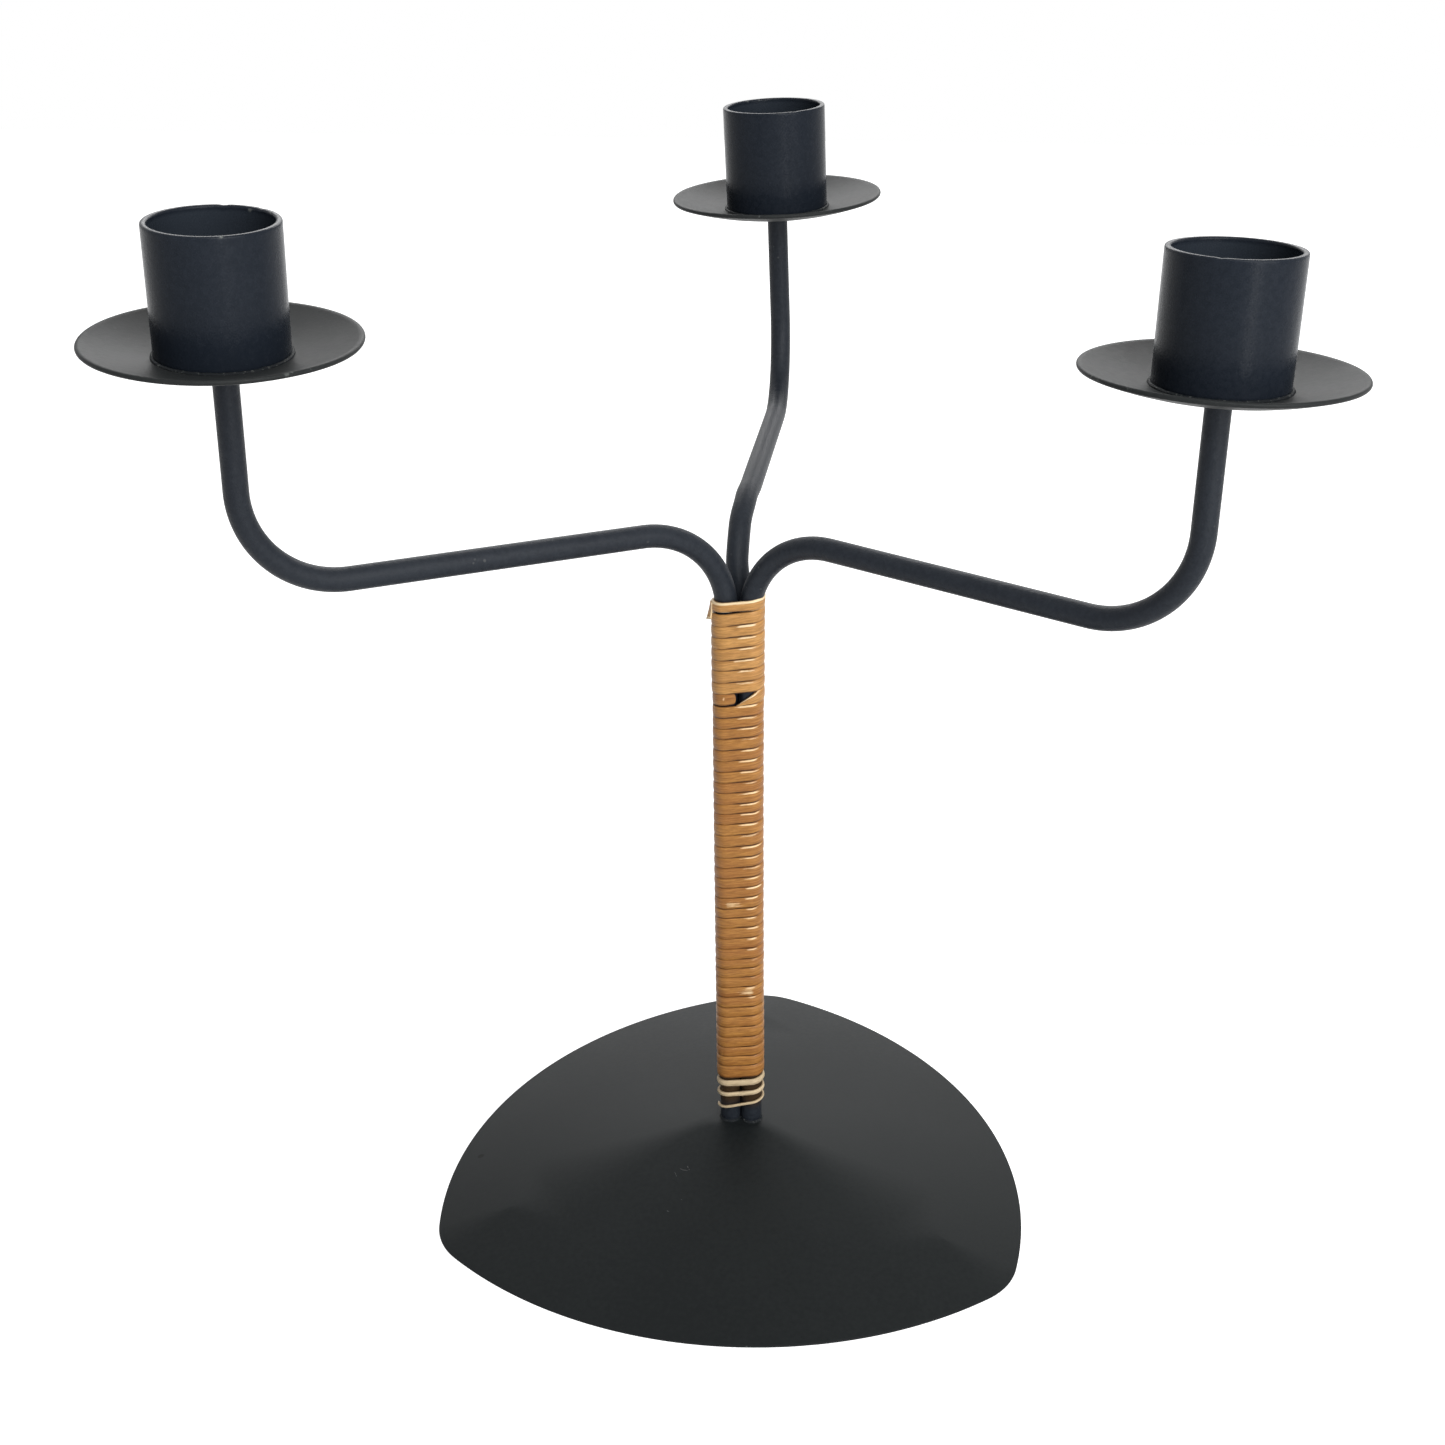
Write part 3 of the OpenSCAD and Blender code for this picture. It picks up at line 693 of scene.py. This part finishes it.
def make_pan(side, seed):
    """Dished pan with a rolled rim, a little warped and dented by hand."""
    at = head_place(side)
    half = PAN_SHEET / 2
    rim_mid = PAN_R - half - 0.03
    rim_z = (pan_z(rim_mid) + pan_z(rim_mid, PAN_SHEET)) / 2
    upper = (2.6, 6, 9, 11, 12.4, 13.2, 14, 15, 16.5, 18, 19.5, 21, 22.5, 23.8, 24.6, 25.1)
    lower = (25.0, 24, 22, 19, 16, 13, 10, 7, 4, 2.6)
    profile = [(r, pan_z(r), 0.0) for r in upper]
    for degrees in (70, 45, 20, -5, -30, -55, -80):
        a = math.radians(degrees)
        worn = 1.0 if degrees > -10 else 0.4
        profile.append((rim_mid + half * math.cos(a), rim_z + half * math.sin(a), worn))
    profile += [(r, pan_z(r, PAN_SHEET), 0.0) for r in lower]
    turns = 144

    def hand_made(r, z, a):
        warp = wander(math.cos(a) * 1.1, seed) + wander(math.sin(a) * 1.1, seed + 3)
        dent = 0.025 * wander(r * 0.22, seed + 5) * wander(a * 1.9, seed + 6) * smooth(13, 17, r)
        return at(r, z + 0.08 * (r / PAN_R) ** 2 * warp + dent, a)

    add_piece("drip_pan_" + side, lathe(profile, turns, hand_made),
              grid_faces(len(profile), turns, closed_rows=True), pan_paint, "pan_paint", ["pan_" + side],
              edge=[p[2] for p in profile for _ in range(turns)])


def make_cup(side):
    """Turned cup with a rounded lip; its lining and floor carry a mark where a paler tone is painted, as the
    light inside the cup.
    """
    at = head_place(side)
    half = (CUP_R - CUP_BORE) / 2
    lip = CUP_H - half
    mid = (CUP_R + CUP_BORE) / 2
    profile = [(4, 0.0, 0.0), (CUP_R - 0.25, 0.0, 0.0), (CUP_R, 0.25, 0.0)]
    profile += [(CUP_R, z, 0.0) for z in (1, 2, 4, 7, 10, 13, 16, 19, 21.5, 23, 23.8)]
    for degrees in range(0, 181, 18):
        a = math.radians(degrees)
        squared = 1.0 / max(abs(math.cos(a)), abs(math.sin(a))) ** 0.55
        out, up = min(squared * math.cos(a), 1.0), min(squared * math.sin(a), 1.0)
        profile.append((mid + half * out, lip + half * up, 1.0 if 20 < degrees < 170 else 0.5))
    lining = len(profile)
    profile += [(CUP_BORE, z, 0.0) for z in (23.5, 22, 19, 15, 11, 7, 4, 2.2, 1.5)]
    profile += [(CUP_BORE - 0.3, CUP_FLOOR, 0.0), (8, CUP_FLOOR, 0.0), (4, CUP_FLOOR, 0.0)]
    turns = 128

    def nicked(r, z, a):
        if z > 20:
            for where, half_width, depth in NICKS[side]:
                off = abs((math.degrees(a) - where + 180) % 360 - 180) * math.pi / 180 * CUP_R
                z -= depth * (1 - smooth(0, half_width, off)) * smooth(20, 25, z)
        return at(r, z, a)

    add_piece("candle_cup_" + side, lathe(profile, turns, nicked), tube_faces(len(profile), turns), cup_paint,
              "cup_paint", ["cup_" + side],
              edge=[p[2] for p in profile for _ in range(turns)],
              dust=[1.0 if i >= lining else 0.0 for i in range(len(profile)) for _ in range(turns)])


def make_head_welds(side, seed):
    """Lumpy bead round the cup's foot, and the fillet under the pan where the rod comes through."""
    at = head_place(side)
    profile = []
    for i in range(9):
        a = math.radians(-75 + 240 * i / 8)
        profile.append((CUP_R + BEAD_R * 0.35 + BEAD_R * math.cos(a), BEAD_R * 0.3 + BEAD_R * math.sin(a)))

    def lumpy(r, z, a):
        swell = 1 + 0.22 * round_noise(a, 9, seed * 3.1 + z) + 0.14 * round_noise(a, 26, seed * 5.3 + z * 2)
        return at(CUP_R + (r - CUP_R) * min(swell, 1.22), z * min(swell, 1.15), a)

    add_piece("cup_bead_" + side, lathe(profile, 120, lumpy), grid_faces(len(profile), 120, closed_rows=True),
              bead_paint, "painted_weld", ["cup_weld_" + side])
    low = pan_z(ROD_R, PAN_SHEET)
    fillet = [(ROD_R - 0.25, low + 0.05), (ROD_R - 0.25, low - 0.85), (ROD_R + 0.08, low - 0.88),
              (ROD_R + 0.18, low - 0.5), (ROD_R + 0.42, low - 0.2), (ROD_R + 0.85, low + 0.05)]

    def uneven(r, z, a):
        return at(r + (0.07 * round_noise(a, 5, seed + z) if r > ROD_R + 0.1 else 0), z, a)

    add_piece("rod_bead_" + side, lathe(fillet, 64, uneven), grid_faces(len(fillet), 64, closed_rows=True),
              bead_paint, "painted_weld", ["rod_weld_" + side])


def make_foot_weld():
    """Low fillets round the three rods on the seat, lumpy as the beads are."""
    points, faces = [], []
    profile = [(ROD_R - 0.2, SEAT_Z - 0.35), (ROD_R - 0.2, SEAT_Z + 0.5), (ROD_R + 0.03, SEAT_Z + 0.52),
               (ROD_R + 0.1, SEAT_Z + 0.22), (ROD_R + 0.25, SEAT_Z + 0.02), (ROD_R + 0.5, SEAT_Z - 0.3)]
    for k, third in enumerate(THIRDS.values()):
        middle = polar(BUNDLE_R, third) + stem_lean(SEAT_Z)

        def lumpy(r, z, a):
            lump = 1 + 0.3 * round_noise(a, 4, k * 3.7 + z)
            return middle + polar(ROD_R + (r - ROD_R) * lump, math.degrees(a), z)

        first = len(points)
        points += lathe(profile, 60, lumpy)
        faces += [tuple(v + first for v in face) for face in grid_faces(len(profile), 60, closed_rows=True)]
    add_piece("foot_bead", points, faces, bead_paint, "painted_weld", ["foot_weld"])


# ---------------------------------------------------------------- cane

ARC_LEN = CANE_SEAT * math.radians(120) / ARC
FLAT_LEN = 2 * BUNDLE_R * math.sin(math.radians(60)) / FLAT
THIRD_LEN = ARC * ARC_LEN + FLAT * FLAT_LEN
TURN_LEN = 3 * THIRD_LEN
SPLAY_Z = 150.8


def along(s):
    """Length of cane wound by step s."""
    third = math.floor(s / THIRD_STEPS)
    j = s - third * THIRD_STEPS
    return third * THIRD_LEN + min(j, ARC) * ARC_LEN + max(j - ARC, 0) * FLAT_LEN


def splay(z):
    """How far the rods have spread from the stem at height z."""
    reach = KNEE_R - ROD_R
    return 0.0 if z <= SPLAY_Z else reach - math.sqrt(reach ** 2 - (z - SPLAY_Z) ** 2)


def on_bundle(s, out, z):
    """Place at step s round the bundle, out from the rods, at height z."""
    third = math.floor(s / THIRD_STEPS)
    j = s - third * THIRD_STEPS
    rod = 90 + 120 * third
    here = polar(BUNDLE_R + splay(z), rod, z)
    there = polar(BUNDLE_R + splay(z), rod + 120, z)
    outwards = rod - 60 + 120 / ARC * min(j, ARC)
    middle = here + (there - here) * max(j - ARC, 0) / FLAT
    return middle + polar(CANE_SEAT + out, outwards) + stem_lean(z)


# Steps round the stem: where the binding begins, the middle of the front, the splice and the end
FIRST = ARC / 2
FRONT = 2 * THIRD_STEPS - FLAT / 2
TURNS = 44
SPLICE = FRONT + TURN_STEPS * (TURNS - 8)
LAST = FIRST + TURN_STEPS * (TURNS + 1)
TOP_FRONT = FRONT + TURN_STEPS * TURNS

# How far each joint between turns has drifted up from an even winding, from the foot to the top
TURN_DRIFT = (0, .7, .68, .55, .62, .79, .9, .78, .95, .94, .9, .59, .36, .5, .56, .7, .65, .35, .5, .41,
              .27, .2, .12, .2, .45, .57, .44, .2, .3, .12, .15, .15, 0, .15, -.1, -.2, -.1, .2, .17, .3,
              0, .1, -.1, -.07, 0, 0, 0)


def turn_of(s):
    """Turns of cane wound by step s."""
    return (s - FIRST) / TURN_STEPS


def drift_of(turn):
    """TURN_DRIFT at a part of a turn."""
    turn = max(0.0, min(turn, len(TURN_DRIFT) - 1.001))
    low = int(turn)
    return TURN_DRIFT[low] + (TURN_DRIFT[low + 1] - TURN_DRIFT[low]) * smooth(0, 1, turn - low)


def front_angle(s):
    """Angle round the stem by length of cane: 0 at the middle of the front, a quarter turn at the right."""
    n = round((s - FRONT) / TURN_STEPS)
    return 2 * math.pi * (along(s) - along(FRONT + n * TURN_STEPS)) / TURN_LEN


def binding_z(s):
    """Middle line of the close binding, with the drift and the slant of each turn across the front."""
    turn = turn_of(s)
    even = CANE_BOTTOM + CANE_W / 2 + PITCH * (along(s) - along(FIRST)) / TURN_LEN
    drift = (drift_of(turn - 0.5) + drift_of(turn + 0.5)) / 2
    slant = (0.18 + 0.2 * turn / TURNS) * math.sin(front_angle(s))
    slant *= 1 - smooth(TURNS - 0.05, TURNS + 0.35, turn)
    return even + drift + slant + 0.02 * wander(along(s) * 0.16, 4)


def cane_width(s):
    """The strip fills its turn but for a hair."""
    turn = turn_of(s)
    return PITCH - TURN_GAP + drift_of(turn + 0.5) - drift_of(turn - 0.5)


def wavering(value, swing, rate, seed):
    """A size that wavers along the cane."""
    return lambda s: value + swing * wander(along(s) * rate, seed)


# Across the strip: (share of its width, share of its edge thickness, share of its crown)
SKIN = ((-0.5, 0.68, 0), (-0.49, 0.9, 0), (-0.455, 0.99, 0), (-0.37, 1, 0.38), (-0.22, 1, 0.82),
        (-0.04, 1, 1), (0.12, 1, 0.92), (0.24, 1, 0.7), (0.31, 1, 0.5), (0.36, 0.97, 0.3), (0.41, 0.91, 0.1),
        (0.46, 0.81, 0), (0.5, 0.66, 0), (0.5, 0, 0), (-0.5, 0, 0))


def strip_mesh(steps, middle, edges, thick, crown, lean, wear, seam):
    """Sweeps the strip's section round the bundle. All but the steps and the crown are given the step; wear
    is the pale mark, which is partly painted highlight.
    """
    points, strip, edge, seams = [], [], [], []
    for s in steps:
        z, t = middle(s), thick(s)
        low, high = edges(s)
        turned = front_angle(s)
        worn_round = 0.25 + 0.75 * smooth(-0.3, 0.1, turned) * (1 - smooth(0.8, 1.3, turned))
        full = min(1.0, (high - low) / 1.6)
        for share, rise, bow in SKIN:
            across = share + 0.5
            if 0.3 < share and rise:
                rise = 1 - (1 - rise) * worn_round
            out = rise * t + bow * crown * full + (lean(s) * share if rise > 0.3 else 0)
            points.append(on_bundle(s, max(out, 0.0), z + low + (high - low) * across))
            strip.append((along(s) * MM, across))
            edge.append(wear(s, across) if rise else 0.0)
            seams.append(seam(s))
    return points, tube_faces(len(steps), len(SKIN)), strip, edge, seams


def add_strip(name, mesh_parts, material, slot, node):
    points, faces, strip, edge, seams = mesh_parts
    flat_ends(add_piece(name, points, faces, material, slot, [node], edge=edge, seam=seams, strip=strip))


def near(value, middle, half):
    """1 at the middle, easing to 0 at half from it."""
    return 1 - smooth(0, half, abs(value - middle))


def highlight_span(s):
    """How far into the part of its turn that carries the painted highlight the step s lies, 0 outside it and
    1 at its middle.
    """
    turn = turn_of(s)
    left = -0.12 + 0.2 * smooth(36, 27, turn) + 0.36 * smooth(27, 8, turn)
    left += 0.14 * wander(round(turn) * 0.9, 47)
    right = 0.78 + 0.26 * smooth(42, 26, turn) - 0.22 * smooth(22, 8, turn)
    right += 0.1 * wander(round(turn) * 0.9, 49)
    t = (front_angle(s) - left) / (right - left)
    return math.sin(math.pi * t) ** 0.6 if 0 < t < 1 else 0.0


def upper_edge_wear_and_highlight(s, across):
    """The upper edge of a turn is a little pale all round, as wear; across the front, to the right of the
    middle, it is paler still, a painted highlight.
    """
    turn = turn_of(s)
    strength = (0.5 + 0.4 * smooth(9, 22, turn)) * smooth(4, 9, turn) * (1 - smooth(43.1, 43.4, turn))
    strength *= 0.95 + 0.65 * wander(round(turn) * 1.3, 43)
    line = smooth(0.82, 0.87, across) * (1 - smooth(0.94, 0.99, across))
    return (0.12 + strength * highlight_span(s)) * line


def seam_and_shade_tone(s):
    """How brown the seam under a turn is: strong beside the painted highlight, where it is painted shade
    under the turn above, faint at the left.
    """
    turn = turn_of(s)
    turned = front_angle(s)
    left = smooth(-1.3, -0.9, turned) * (1 - smooth(0.0, 0.3, turned))
    left *= max(0.0, wander(round(turn) * 1.7, 45))
    beside_highlight = max(highlight_span(s), highlight_span(s + 1.5))
    here = 0.2 + 0.8 * beside_highlight + 0.7 * left + 0.25 * smooth(10, 2, turn)
    return max(0.0, min(1.0, here + 0.15 * wander(along(s) * 0.1, 46)))


def make_lower_cane():
    """The strip below the splice, which ends there in a rounded tongue."""
    tip = 0.9 / FLAT_LEN
    stop = SPLICE - 0.2
    steps = [FIRST + i for i in range(int(stop - tip - FIRST))]
    steps += [stop - tip * (1 - t) for t in (0, 0.2, 0.4, 0.55, 0.68, 0.78, 0.86, 0.92, 0.96, 0.985, 0.997)]

    def edges(s):
        t = max(0.0, 1 - (stop - s) / tip)
        share = (1 - t ** 3.2) ** (1 / 2.6)
        half = cane_width(s) / 2
        closing = 0.34 * smooth(22, 4, stop - s)
        return -half * share + closing, half * share

    def wear(s, across):
        """The upper edge, with its painted highlight, two spots at the front and a painted highlight on the
        tongue.
        """
        turn = turn_of(s)
        spots = 0.75 * near(turn, 17.48, 0.055) * near(across, 0.45, 0.5)
        spots += 0.8 * near(turn, 8.54, 0.065) * near(across, 0.5, 0.6)
        tongue_highlight = 0.9 * near(turn, turn_of(stop) - 0.045, 0.02) * near(across, 0.6, 0.3)
        return max(upper_edge_wear_and_highlight(s, across), spots, tongue_highlight)

    thick, lean = wavering(LOWER_THICK, 0.03, 0.06, 12), wavering(0.04, 0.05, 0.045, 14)
    add_strip("cane_winding", strip_mesh(steps, binding_z, edges, thick, CROWN, lean, wear, seam_and_shade_tone),
              cane_amber, "cane", "cane_lower")


def make_upper_cane():
    """The strip above the splice, which starts there on a slanting cut and flares at the top."""
    start = SPLICE - 0.15
    cut = 4.7
    steps = [start + i * 0.25 for i in range(40)]
    steps += [start + 10 + i for i in range(int(LAST - start - 10) + 1)]

    def edges(s):
        turn, w = turn_of(s), cane_width(s)
        share = min(1.0, max(0.03, (along(s) - along(start)) / cut))
        top = smooth(TURNS - 0.2, TURNS + 0.3, turn)
        short = (0.38 - 0.55 * smooth(TURNS + 0.45, TURNS + 0.75, turn)) * top
        return -w / 2 + 0.12 * top, -w / 2 + w * share - short

    def middle(s):
        turn = turn_of(s)
        lift = 0.16 * smooth(TURNS - 0.1, TURNS + 0.3, turn) + 0.14 * smooth(TURNS + 0.42, TURNS + 0.56, turn)
        return binding_z(s) + lift * (1 - smooth(TURNS + 0.6, TURNS + 0.72, turn))

    def wear(s, across):
        """The upper edge, with its painted highlight, a painted highlight at the end of the slanting cut, and
        both edges of the top turn.
        """
        cut_highlight = 0.35 * near(along(s), along(start) + 4.6, 1.1) * smooth(0.4, 0.8, across)
        top = smooth(TURNS + 0.12, TURNS + 0.2, turn_of(s))
        return max(upper_edge_wear_and_highlight(s, across) * (1 - top), cut_highlight, top * smooth(0.76, 0.84, across),
                   0.55 * top * smooth(0.1, 0.02, across))

    thick, lean = wavering(UPPER_THICK, 0.03, 0.06, 22), wavering(0.04, 0.05, 0.045, 24)
    add_strip("cane_winding_top", strip_mesh(steps, middle, edges, thick, CROWN, lean, wear, seam_and_shade_tone),
              cane_light, "cane", "cane_upper")


def make_strand():
    """The same helix goes on below the binding as a strand that narrows and hangs looser."""
    count = int(STRAND_TURNS * TURN_STEPS)
    start = CANE_BOTTOM + CANE_W / 2

    def share(s):
        return max(0.0, min(1.0, (FIRST - s) / count))

    def middle(s):
        slant = (0.1 + 1.0 * share(s) ** 2.5) * math.sin(front_angle(s))
        sunk = STRAND_PITCH * (along(FIRST) - along(s)) / TURN_LEN
        return start - sunk + slant + 0.06 * wander(along(s) * 0.08, 31)

    def edges(s):
        half = 0.96 - 0.66 * share(s) ** 0.9
        return -half, half

    steps = [FIRST - 0.3 - count + i for i in range(count + 1)]
    thick, lean = wavering(STRAND_THICK, 0.04, 0.2, 33), wavering(0.0, 0.08, 0.1, 35)
    mesh_parts = strip_mesh(steps, middle, edges, thick, STRAND_CROWN, lean,
                            wear=lambda s, across: 0.2, seam=lambda s: 0.9)
    add_strip("cane_strand_foot", mesh_parts, cane_pale, "pale_cane", "cane_strand")


def make_tuck():
    """Cut end of the cane, folded down over the outside of the top turn at the left and peeling off."""
    rows, sheet = 14, 0.3
    columns = (-1, -0.9, -0.5, 0, 0.5, 0.9, 1)
    top = binding_z(TOP_FRONT - 16) + CANE_W / 2 - 0.3
    drop = 4.1
    points, strip, edge = [], [], []
    for i in range(rows):
        t = i / (rows - 1)
        for skin in (0, 1):
            for c in (columns if skin == 0 else columns[::-1]):
                z = top - drop * t * (1 - 0.06 * c) + 0.4 * (1 - abs(c)) * t ** 4
                peel = 0.62 + 0.95 * t ** 1.3 * (0.6 - 0.4 * c) + (sheet if skin == 0 else 0.0)
                rod = polar(BUNDLE_R + splay(z), THIRDS["left"], z)
                points.append(rod + polar(CANE_SEAT + peel, 196 + c * (15 - 4 * t)) + stem_lean(z))
                strip.append((t * drop * MM, (c + 1) / 2))
                edge.append(0.9 if abs(c) > 0.7 or t > 0.9 else 0.2)
    faces = tube_faces(rows, 2 * len(columns))
    add_strip("cane_end_flap", (points, faces, strip, edge, [0.6] * len(points)), cane_light, "cane",
              "cane_tuck")


# ---------------------------------------------------------------- studio

# The camera's lens in mm, its place in mm and its turn in radians
LENS = 51.105
CAMERA_PLACE = (38.06, -414.63, 318.02)
YAW, PITCH_DOWN, ROLL = -0.1002, 0.4406, -0.0032
# Lamps: (name, turn round the object and climb above it in degrees, width and height in m, power)
LAMPS = (
    ("back_box", 90, 30, 1.4, 0.7, 9),
    ("front_box", -61, 30, 0.7, 0.7, 9),
    ("side_box", -40, 20, 0.5, 0.9, 6),
    ("low_box", -60, 4, 0.2, 0.5, 3),
    ("high_box", -75, 58, 0.7, 0.7, 6.5))
LAMP_REACH, LAMP_AIM = 1.5, 0.12
FLOOR_HALF = 1.5


def add_camera():
    data = bpy.data.cameras.new("camera")
    data.sensor_fit = "HORIZONTAL"
    data.sensor_width = 36
    data.lens = LENS
    data.clip_start, data.clip_end = 0.01, 50
    level = math.cos(PITCH_DOWN)
    forward = Vector((math.sin(YAW) * level, math.cos(YAW) * level, -math.sin(PITCH_DOWN)))
    side = Vector((math.cos(YAW), -math.sin(YAW), 0))
    up = side.cross(forward)
    rolled_side = math.cos(ROLL) * side + math.sin(ROLL) * up
    rolled_up = -math.sin(ROLL) * side + math.cos(ROLL) * up
    turn = Matrix((rolled_side, rolled_up, -forward)).transposed().to_4x4()
    camera = bpy.data.objects.new("camera", data)
    scene.collection.objects.link(camera)
    camera.matrix_world = Matrix.Translation(Vector(CAMERA_PLACE) * MM) @ turn
    scene.camera = camera


def background_share(tree):
    """1 for what the camera sees directly, in gloss or through glass."""
    path = put(tree, "LightPath")
    seen = math_node(tree, "MAXIMUM", path.outputs["Is Camera Ray"], path.outputs["Is Glossy Ray"])
    return math_node(tree, "MAXIMUM", seen, path.outputs["Is Transmission Ray"])


def add_floor():
    mesh = bpy.data.meshes.new("floor")
    half = FLOOR_HALF
    mesh.from_pydata([(-half, -half, 0), (half, -half, 0), (half, half, 0), (-half, half, 0)], [],
                     [(0, 1, 2, 3)])
    floor = bpy.data.objects.new("floor", mesh)
    scene.collection.objects.link(floor)
    made = bpy.data.materials.new("floor")
    made.use_nodes = True
    tree = made.node_tree
    tree.nodes.clear()
    plain = put(tree, "BsdfDiffuse", {"Color": (0.72, 0.72, 0.72, 1)})
    glow = put(tree, "Emission", {"Strength": 0.92})
    both = put(tree, "AddShader", {0: plain.outputs[0], 1: glow.outputs[0]})
    pick = put(tree, "MixShader", {0: background_share(tree), 1: plain.outputs[0], 2: both.outputs[0]})
    put(tree, "OutputMaterial", {"Surface": pick.outputs[0]})
    mesh.materials.append(made)


def add_world():
    world = bpy.data.worlds.new("studio")
    scene.world = world
    world.use_nodes = True
    tree = world.node_tree
    tree.nodes.clear()
    room = put(tree, "Background", {"Color": (0.93, 0.96, 1.0, 1), "Strength": 0.06})
    white = put(tree, "Background", {"Color": (1, 1, 1, 1), "Strength": 1.0})
    pick = put(tree, "MixShader", {0: background_share(tree), 1: room.outputs[0], 2: white.outputs[0]})
    put(tree, "OutputWorld", {"Surface": pick.outputs[0]})


def soft_box(name, turn, climb, width, height, power):
    """A lamp that stands at LAMP_REACH from the middle of the object and looks at it."""
    data = bpy.data.lights.new(name, "AREA")
    data.shape = "RECTANGLE"
    data.size, data.size_y = width, height
    data.energy = power
    lamp = bpy.data.objects.new(name, data)
    scene.collection.objects.link(lamp)
    out = polar(math.cos(math.radians(climb)), turn, math.sin(math.radians(climb)))
    lamp.location = Vector((0, 0, LAMP_AIM)) + out * LAMP_REACH
    lamp.rotation_euler = (-out).to_track_quat("-Z", "Y").to_euler()


make_base()
for number, rod_side in enumerate(THIRDS):
    make_rod(rod_side, number + 1)
    make_pan(rod_side, number + 11)
    make_cup(rod_side)
    make_head_welds(rod_side, number + 31)
make_foot_weld()
make_lower_cane()
make_upper_cane()
make_strand()
make_tuck()

add_camera()
add_world()
add_floor()
for lamp_settings in LAMPS:
    soft_box(*lamp_settings)
scene.view_settings.view_transform = "Standard"
